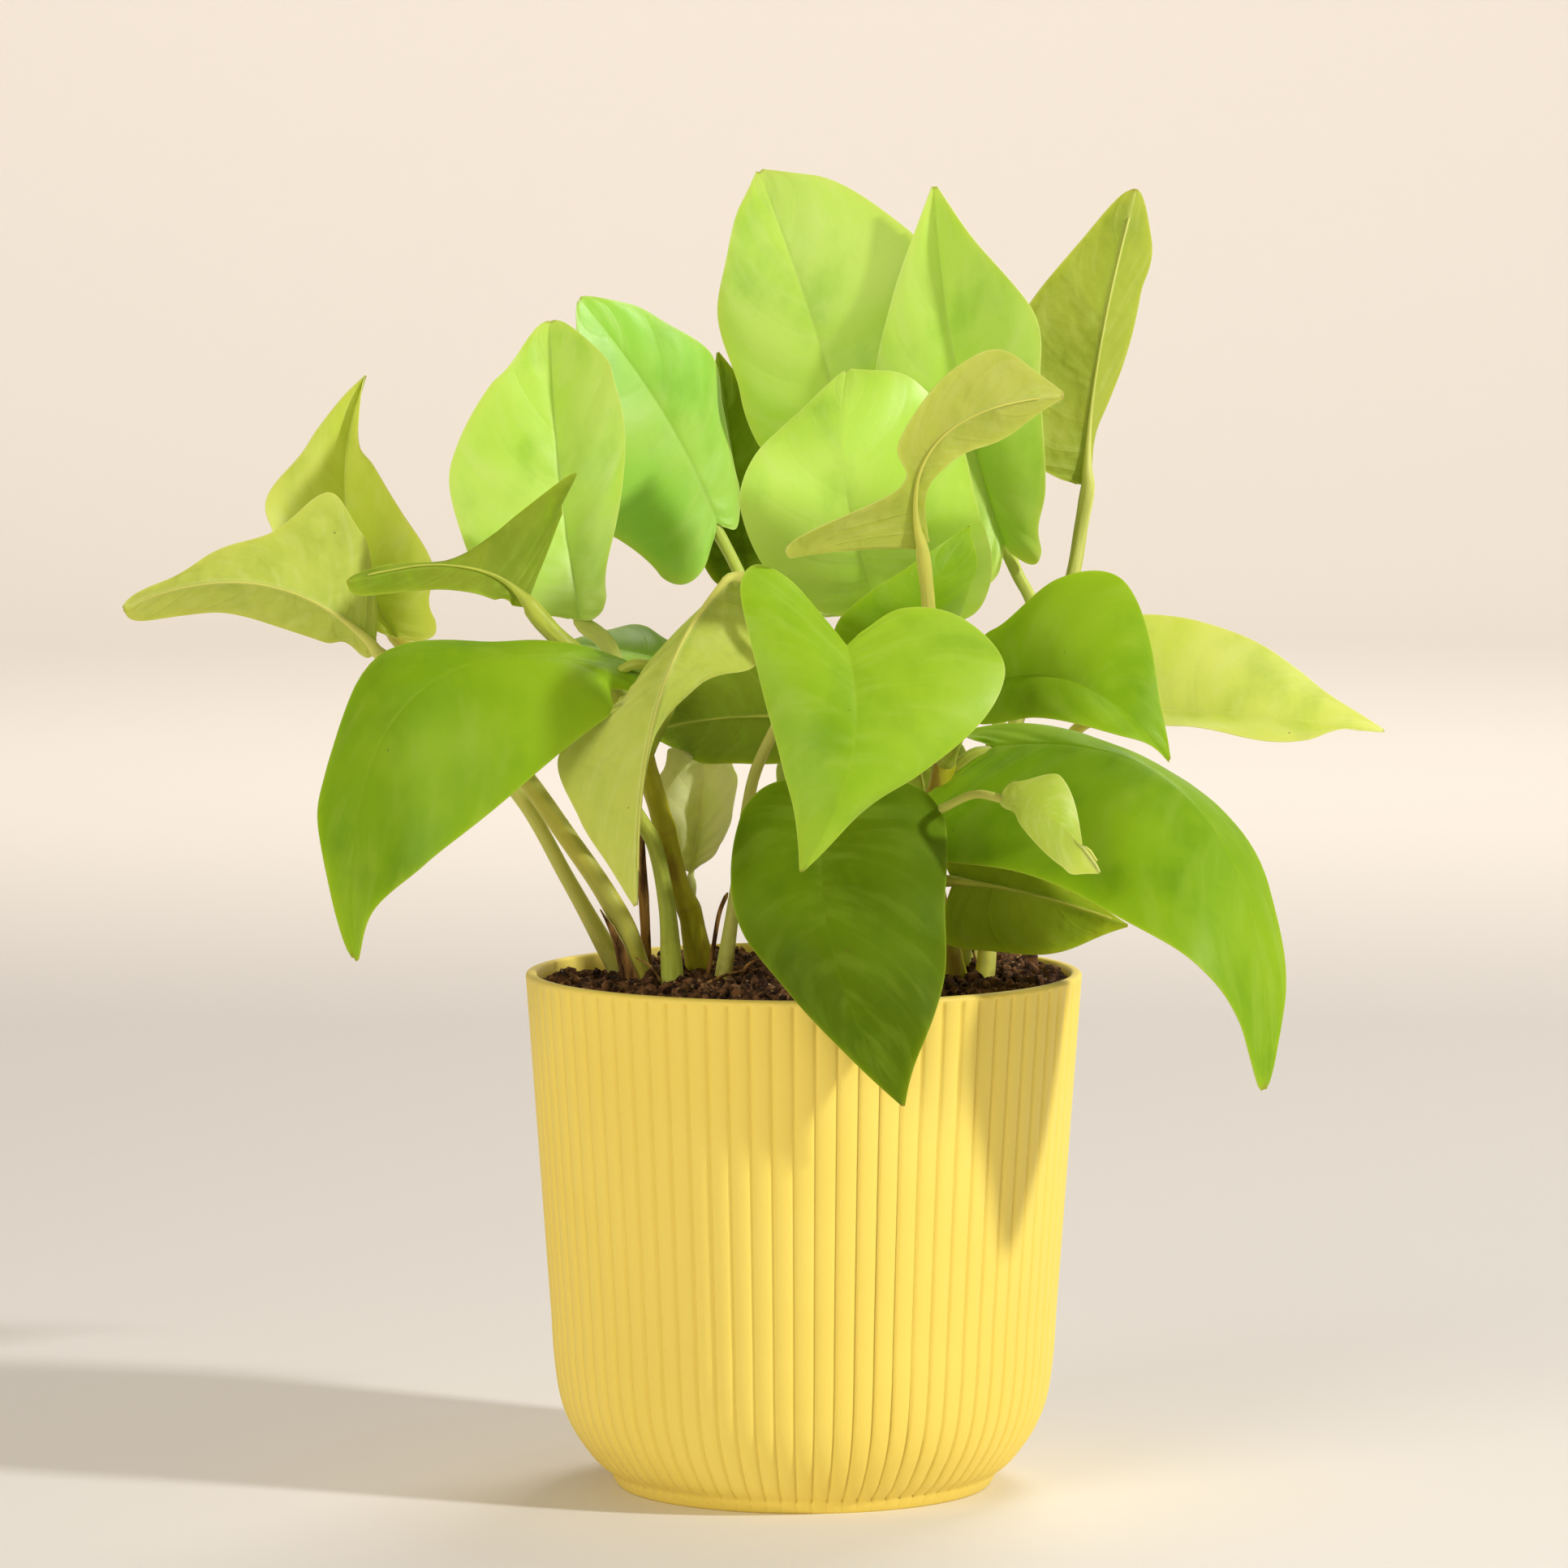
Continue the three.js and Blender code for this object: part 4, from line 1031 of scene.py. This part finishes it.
def bladeSurface(leaf):
    rib = ribLine(leaf)
    up = upperSide(leaf)
    widths = []
    for half in "AB":
        anchors = []
        for name, row in anchorRows.items():
            start, along, out = leafRow(leaf, row)
            if name + half in leaf:
                anchors.append((along, (seen(leaf[name + half]) - rib(along)) / out))
        widths.append(widthCurve(anchors))

    def point(row, share):
        start, edge, most = row
        half, reach = int(share > 0), abs(share)
        along = between(start, edge * leaf["lobes"] if edge < 0 else edge, reach)
        out = most * reach
        width = widths[half](along)
        rise = up * leafLook["arch"] * width.length * (4 * out * (1 - out))
        return rib(along) + width * out + rise, width.length * most
    return point


def bladeRelief(row, share, halfWidth, shift, size):
    # how far the upper face stands out, in mm: midrib channel, soft bands, waved margin
    look = leafLook
    reach, right = abs(share), share > 0
    fromRib = reach * halfWidth / mm
    taper = 1 - 0.6 * row
    channel = -look["ribDepth"] * taper * math.exp(-(fromRib / (look["ribWidth"] * taper)) ** 2)
    first, second = look["veinSweep"]
    phase = look["veins"] * (row - first * reach - second * reach ** 2) + look["halfShift"] * right
    inner = easeIn(fromRib, 0.4, 3) * (1 - easeIn(reach, 0.75, 1)) * (1 - 0.5 * row)
    quilt = -look["quilt"] * math.cos(2 * math.pi * phase) * inner
    wave = math.sin(2 * math.pi * (look["edgeWaves"] * row + shift + look["waveShift"] * right))
    ends = math.sin(math.pi * min(max(row, 0.02), 0.98)) ** 0.5
    margin = look["edgeWave"] * wave * reach ** 3 * ends
    return (channel + quilt + margin) * size


def makeLeaf(node, leaf):
    look = leafLook
    surface = bladeSurface(leaf)
    up = upperSide(leaf)
    shift = random.random()
    length = (seen(leaf["tip"]) - seen(leaf["base"])).length
    size = min(1, length / (50 * mm)) * leaf.get("relief", 1)
    bm = bmesh.new()
    bm.loops.layers.uv.new("leafMap")
    fromRib = bm.verts.layers.float.new("fromRib")
    fromEdge = bm.verts.layers.float.new("fromEdge")
    spots = gridOf(bm, look["rows"], look["cells"])
    halfWidths = {}
    for vert, (row, across) in spots.items():
        share = math.copysign(abs(across) ** look["columnSpread"], across)
        vert.co, halfWidth = surface(leafRow(leaf, row), share)
        halfWidths[vert] = halfWidth
        spots[vert] = (row, share)
        vert[fromRib] = abs(share) * halfWidth / mm
        vert[fromEdge] = min((1 - abs(share)) * halfWidth / mm, 40 * (1 - row) + 0.2)
    upper = facesOf(spots)
    bm.normal_update()
    if sum((face.normal * face.calc_area() for face in upper), Vector()).dot(up) < 0:
        bmesh.ops.reverse_faces(bm, faces=upper)
        bm.normal_update()
    moves = {}
    for vert, (row, share) in spots.items():
        relief = bladeRelief(row, share, halfWidths[vert], shift, size)
        for height, scale, fall in look["bumps"]:
            relief += height * size * noise.noise(vert.co * scale) * abs(share) ** fall
        moves[vert] = vert.normal * relief * mm
    for vert, move in moves.items():
        vert.co += move
    bm.normal_update()
    middle = [(row, vert.co.copy(), vert.normal.copy())
              for vert, (row, share) in spots.items() if share == 0]
    middle.sort(key=lambda spot: spot[0])
    twin = bmesh.ops.duplicate(bm, geom=list(spots) + upper)
    lower = [part for part in twin["geom"] if isinstance(part, bmesh.types.BMVert)]
    lowerFaces = [part for part in twin["geom"] if isinstance(part, bmesh.types.BMFace)]
    for vert in lower:
        share = easeIn(vert[fromEdge], 0, 2.5)
        vert.co -= vert.normal * between(look["rimThickness"], look["thickness"], share) * mm
    bmesh.ops.reverse_faces(bm, faces=lowerFaces)
    for face in lowerFaces:
        face.material_index = 1
    openEdges = [edge for edge in bm.edges if edge.is_boundary]
    for edge in openEdges:
        edge.smooth = False
    for face in bmesh.ops.bridge_loops(bm, edges=openEdges)["faces"]:
        face.material_index = 2
    addStalk(bm, leaf, middle, up)
    finishPiece(plainName(node), bm, leafFinishes(leaf["tone"]), [node])


def addStalk(bm, leaf, middle, up):
    # the stalk rises to the notch and thins out under the blade as the raised back of the midrib
    look = stalkLook
    thick = leaf["stalk"] * mm
    fromSoil = "vine" not in leaf
    places = [seen(place) for place in leaf["route"]]
    if fromSoil:
        places = rooted(places)
    else:
        vine = smoothRun([seen(place) for place in vines[leaf["vine"]]["route"]], 0.5 * mm)[0]
        places[0] = min(vine, key=lambda spot: (spot - places[0]).length)
    notch, normal = middle[0][1:]
    places += [notch - normal * (thick + look["notchGap"] * mm)]
    run, stalkLength = smoothRun(places, look["step"] * mm)
    start, end = look["ridge"]
    ridge = []
    for row, place, normal in middle:
        if start < row < end:
            depth = ridgeRadius(thick, (row - start) / (end - start)) * look["ridgeDepth"]
            ridge.append(place - normal * (leafLook["thickness"] * mm + depth))
    whole, length = smoothRun(places + ridge[::5] + [ridge[-1]], look["step"] * mm)
    stalkShare = stalkLength / length

    def radiusAt(along, angle):
        if along > stalkShare:
            return ridgeRadius(thick, (along - stalkShare) / (1 - stalkShare))
        share = along / stalkShare
        fromFoot, toBlade = along * length / mm, (stalkShare - along) * length / mm
        if fromSoil:
            flare = spreadAt(whole[round(along * (len(whole) - 1))])
        else:
            flare = look["flare"] * math.exp(-(fromFoot / look["flareLength"]) ** 2)
        fromSwell = (toBlade - look["swellPlace"]) / look["swellLength"]
        swell = look["swell"] * math.exp(-fromSwell ** 2)
        groove = look["groove"] * math.exp(-(angle / look["grooveWidth"]) ** 2)
        groove *= easeIn(share, 0.1, 0.4)
        return thick * (between(*look["widths"], share) + swell + flare - groove)

    addTube(bm, whole, look["sides"], radiusAt, up, 3)
    if "sheath" in leaf:
        length, turn = leaf["sheath"]
        addSheath(bm, run, thick, length, turn, 4)


def ridgeRadius(thick, share):
    look = stalkLook
    return between(look["ridgeRadius"] * mm, thick * look["widths"][1], (1 - share) ** 6)


# The finish of the leaves

leafSkin = {
    "glow": dict(Subsurface_Weight=0.45, Subsurface_Scale=0.0014),   # light passes through a blade
    "glowColour": (0.9, 1.0, 0.25),
    "roughness": dict(scale=90, low=0.3, high=0.7, bottom=0.38, top=0.5),
    "underRoughness": 0.6,
    "underGloss": 0.6,           # of the upper face's gloss
    "underShare": 0.75,
    "cloud": dict(scale=35, detail=2, low=0.35, high=0.65),
    "mottle": dict(scale=260, detail=5, stretch=(1, 1, 0.6), low=0.52, high=0.7, top=0.3),
    "blotch": dict(scale=95, detail=4, stretch=(1, 1, 0.7), low=0.48, high=0.75, top=0.45),
    "shade": "#c2d49a",
    "streaks": dict(count=22, stretch=1.6, scale=12, depth=5),
    "streakTint": 0.22,
    "veinLine": 0.09,
    "veinTint": 0.04,
    "ribLine": (0.15, 0.6),      # mm from the midrib, and below mm from the margin
    "ribTint": 0.3,
    "edgeLine": (0.1, 0.5),
    "edgeTint": 0.25,
    "specks": dict(scale=240, share=0.93, size=0.09),
    "speckTint": 0.6,
    "speck": "#6b5a1e",
    "tipStart": 0.988,
    "tipTint": 0.5,
    "tipBrown": "#8a6a2a",
    "grain": dict(scale=900, detail=3),
    "grainShare": 0.4,
    "hammered": dict(scale=210, detail=1, low=0.35, high=0.65),
    "hammerShare": 0.9,
    "upper": dict(veinRise=-0.25, depth=0.00008),
    "under": dict(veinRise=0.25, depth=0.00026),
    "rimTint": dict(scale=160, low=0.35, high=0.7),
    "foot": dict(scale=260, detail=4, low=0.45, high=0.65),
    "footReach": (0.02, 0.16),
    "footTint": 0.5,
    "stalkBase": "#8f6a34",
    "stalkGrain": dict(scale=800, detail=4, stretch=(1, 1, 0.2), depth=0.0001),
}


def leafPlace(material):
    # how far along a blade, how far out from its midrib, and a shift that sets its halves apart
    sheet = axesOf(material, mapOf(material, "leafMap"))
    row, across = sheet[0], sheet[1]
    out = calc(material, "ABSOLUTE", calc(material, "MULTIPLY_ADD", across, 2, -1))
    reach = calc(material, "POWER", out, leafLook["columnSpread"])
    right = calc(material, "GREATER_THAN", across, 0.5)
    return row, reach, times(material, right, leafLook["halfShift"])


def veinPhase(material, place, count):
    # a value that grows by one from each side vein to the next
    row, reach, shift = place
    first, second = leafLook["veinSweep"]
    sweep = times(material, reach, calc(material, "MULTIPLY_ADD", reach, second, first))
    return calc(material, "MULTIPLY_ADD", calc(material, "SUBTRACT", row, sweep), count, shift)


def veinMask(material, place):
    phase = veinPhase(material, place, leafLook["veins"])
    line = fade(material, calc(material, "PINGPONG", phase, 0.5), 0, leafSkin["veinLine"], 1, 0)
    return times(material, line, fade(material, place[1], 0.7, 1, 1, 0))


def veinStreaks(material, place):
    # faint streaks that run the way the veins do
    look = leafSkin["streaks"]
    phase = veinPhase(material, place, look["count"])
    out = times(material, place[1], look["stretch"])
    depth = times(material, cloudy(material, look["scale"], 0), look["depth"])
    spread = addNode(material, "CombineXYZ", {0: phase, 1: out, 2: depth}).outputs[0]
    return fade(material, grainOf(material, spread), 0.45, 0.7)


def specks(material, scale, share, size):
    cells = addNode(material, "TexVoronoi", {"Vector": objectPlace(material), "Scale": scale})
    chosen = calc(material, "GREATER_THAN", axesOf(material, cells.outputs["Color"])[0], share)
    dots = fade(material, cells.outputs["Distance"], size * 0.4, size, 1, 0)
    return times(material, dots, chosen)


def bladeFinish(tone, face):
    look, finish = toneOf(tone), leafSkin
    top = face == "upper"
    name = tone + ("LeafTop" if top else "LeafBack")
    gloss = look["gloss"] * (1 if top else finish["underGloss"])
    material = newMaterial(name, Specular_IOR_Level=gloss, **finish["glow"],
                           Subsurface_Radius=finish["glowColour"])
    place = leafPlace(material)
    veins = veinMask(material, place)
    rib = fade(material, attribute(material, "fromRib"), *finish["ribLine"], 1, 0)
    edge = fade(material, attribute(material, "fromEdge"), *finish["edgeLine"], 1, 0)
    cloud = patchy(material, **finish["cloud"])
    skin = mixed(material, cloud, look[face], look["warm" if top else "upper"])
    if not top:
        skin = mixed(material, finish["underShare"], skin, look["under"])
    skin = mixed(material, patchy(material, **finish["mottle"]), skin, look["warm"])
    blotch = patchy(material, **finish["blotch"])
    skin = mixed(material, blotch, skin, finish["shade"], "MULTIPLY")
    for mask, tint, code in (
            (veinStreaks(material, place), "streakTint", look["rim"]),
            (veins, "veinTint", look["rim"]),
            (rib, "ribTint", look["warm" if top else "rim"]),
            (edge, "edgeTint", look["rim"]),
            (specks(material, **finish["specks"]), "speckTint", finish["speck"])):
        skin = tinted(material, skin, mask, finish[tint], code)
    dry = fade(material, place[0], finish["tipStart"], 1, 0, finish["tipTint"])
    rough = patchy(material, **finish["roughness"]) if top else finish["underRoughness"]
    coat(material, Base_Color=mixed(material, dry, skin, finish["tipBrown"]), Roughness=rough)
    ridges = times(material, cloudy(material, **finish["grain"]), finish["grainShare"])
    if not top:
        hammered = patchy(material, **finish["hammered"])
        ridges = calc(material, "MULTIPLY_ADD", hammered, finish["hammerShare"], ridges)
    relief = finish[face]
    ridges = calc(material, "MULTIPLY_ADD", veins, relief["veinRise"], ridges)
    addBump(material, ridges, relief["depth"])
    return material


def rimFinish(tone):
    look = toneOf(tone)
    material = newMaterial(tone + "LeafRim", Roughness=0.5, **leafSkin["glow"])
    tint = patchy(material, **leafSkin["rimTint"])
    coat(material, Base_Color=mixed(material, tint, look["rim"], look["warm"]))
    return material


def stalkFinish(tone):
    # lengthwise streaks, browner towards the foot
    look, finish = toneOf(tone), leafSkin
    material = newMaterial(tone + "Stalk", Roughness=0.48, Specular_IOR_Level=0.3,
                           Subsurface_Weight=0.25, **stemLook["glow"])
    sheet = mapOf(material, "leafMap")
    skin = mixed(material, lengthStreaks(material, sheet), look["stalk"], look["under"])
    low = fade(material, axesOf(material, sheet)[0], *finish["footReach"], 1, 0)
    foot = times(material, low, patchy(material, **finish["foot"]))
    skin = tinted(material, skin, foot, finish["footTint"], finish["stalkBase"])
    coat(material, Base_Color=skin)
    addGrain(material, **finish["stalkGrain"])
    return material


finishes = {}


def leafFinishes(tone):
    if tone not in finishes:
        finishes[tone] = [bladeFinish(tone, "upper"), bladeFinish(tone, "under"), rimFinish(tone),
                          stalkFinish(tone), drySkin(tone + "Sheath")]
    return finishes[tone]


# The floor, a wide round that curves up to a low wall all round

def makeFloor():
    flat, bend, steps = stage["floorRadius"], stage["coveRadius"], stage["coveSteps"]
    turns = [math.pi / 2 * step / steps for step in range(steps + 1)]
    cove = [(flat + bend * math.sin(turn), bend * (1 - math.cos(turn))) for turn in turns]
    profile = [*stage["floorRings"], *cove, (flat + bend, stage["wallHeight"])]
    bm = turned([Vector((radius, 0, height)) for radius, height in profile], 4, 24)
    material = newMaterial("paleFloor", Roughness=0.75, Base_Color=stage["floorColour"])
    mesh = meshOf("floor", bm, [material])
    newObject("floor", mesh)


# Everything is made here

random.seed(3)
makeCamera()
makeLights()
makeFloor()
print("stage done")
makePot()
print("pot done")
makeSoil()
print("soil done")
for node, vine in vines.items():
    makeVine(node, vine)
print("vines done")
for node, leaf in leaves.items():
    makeLeaf(node, leaf)
print("leaves done")
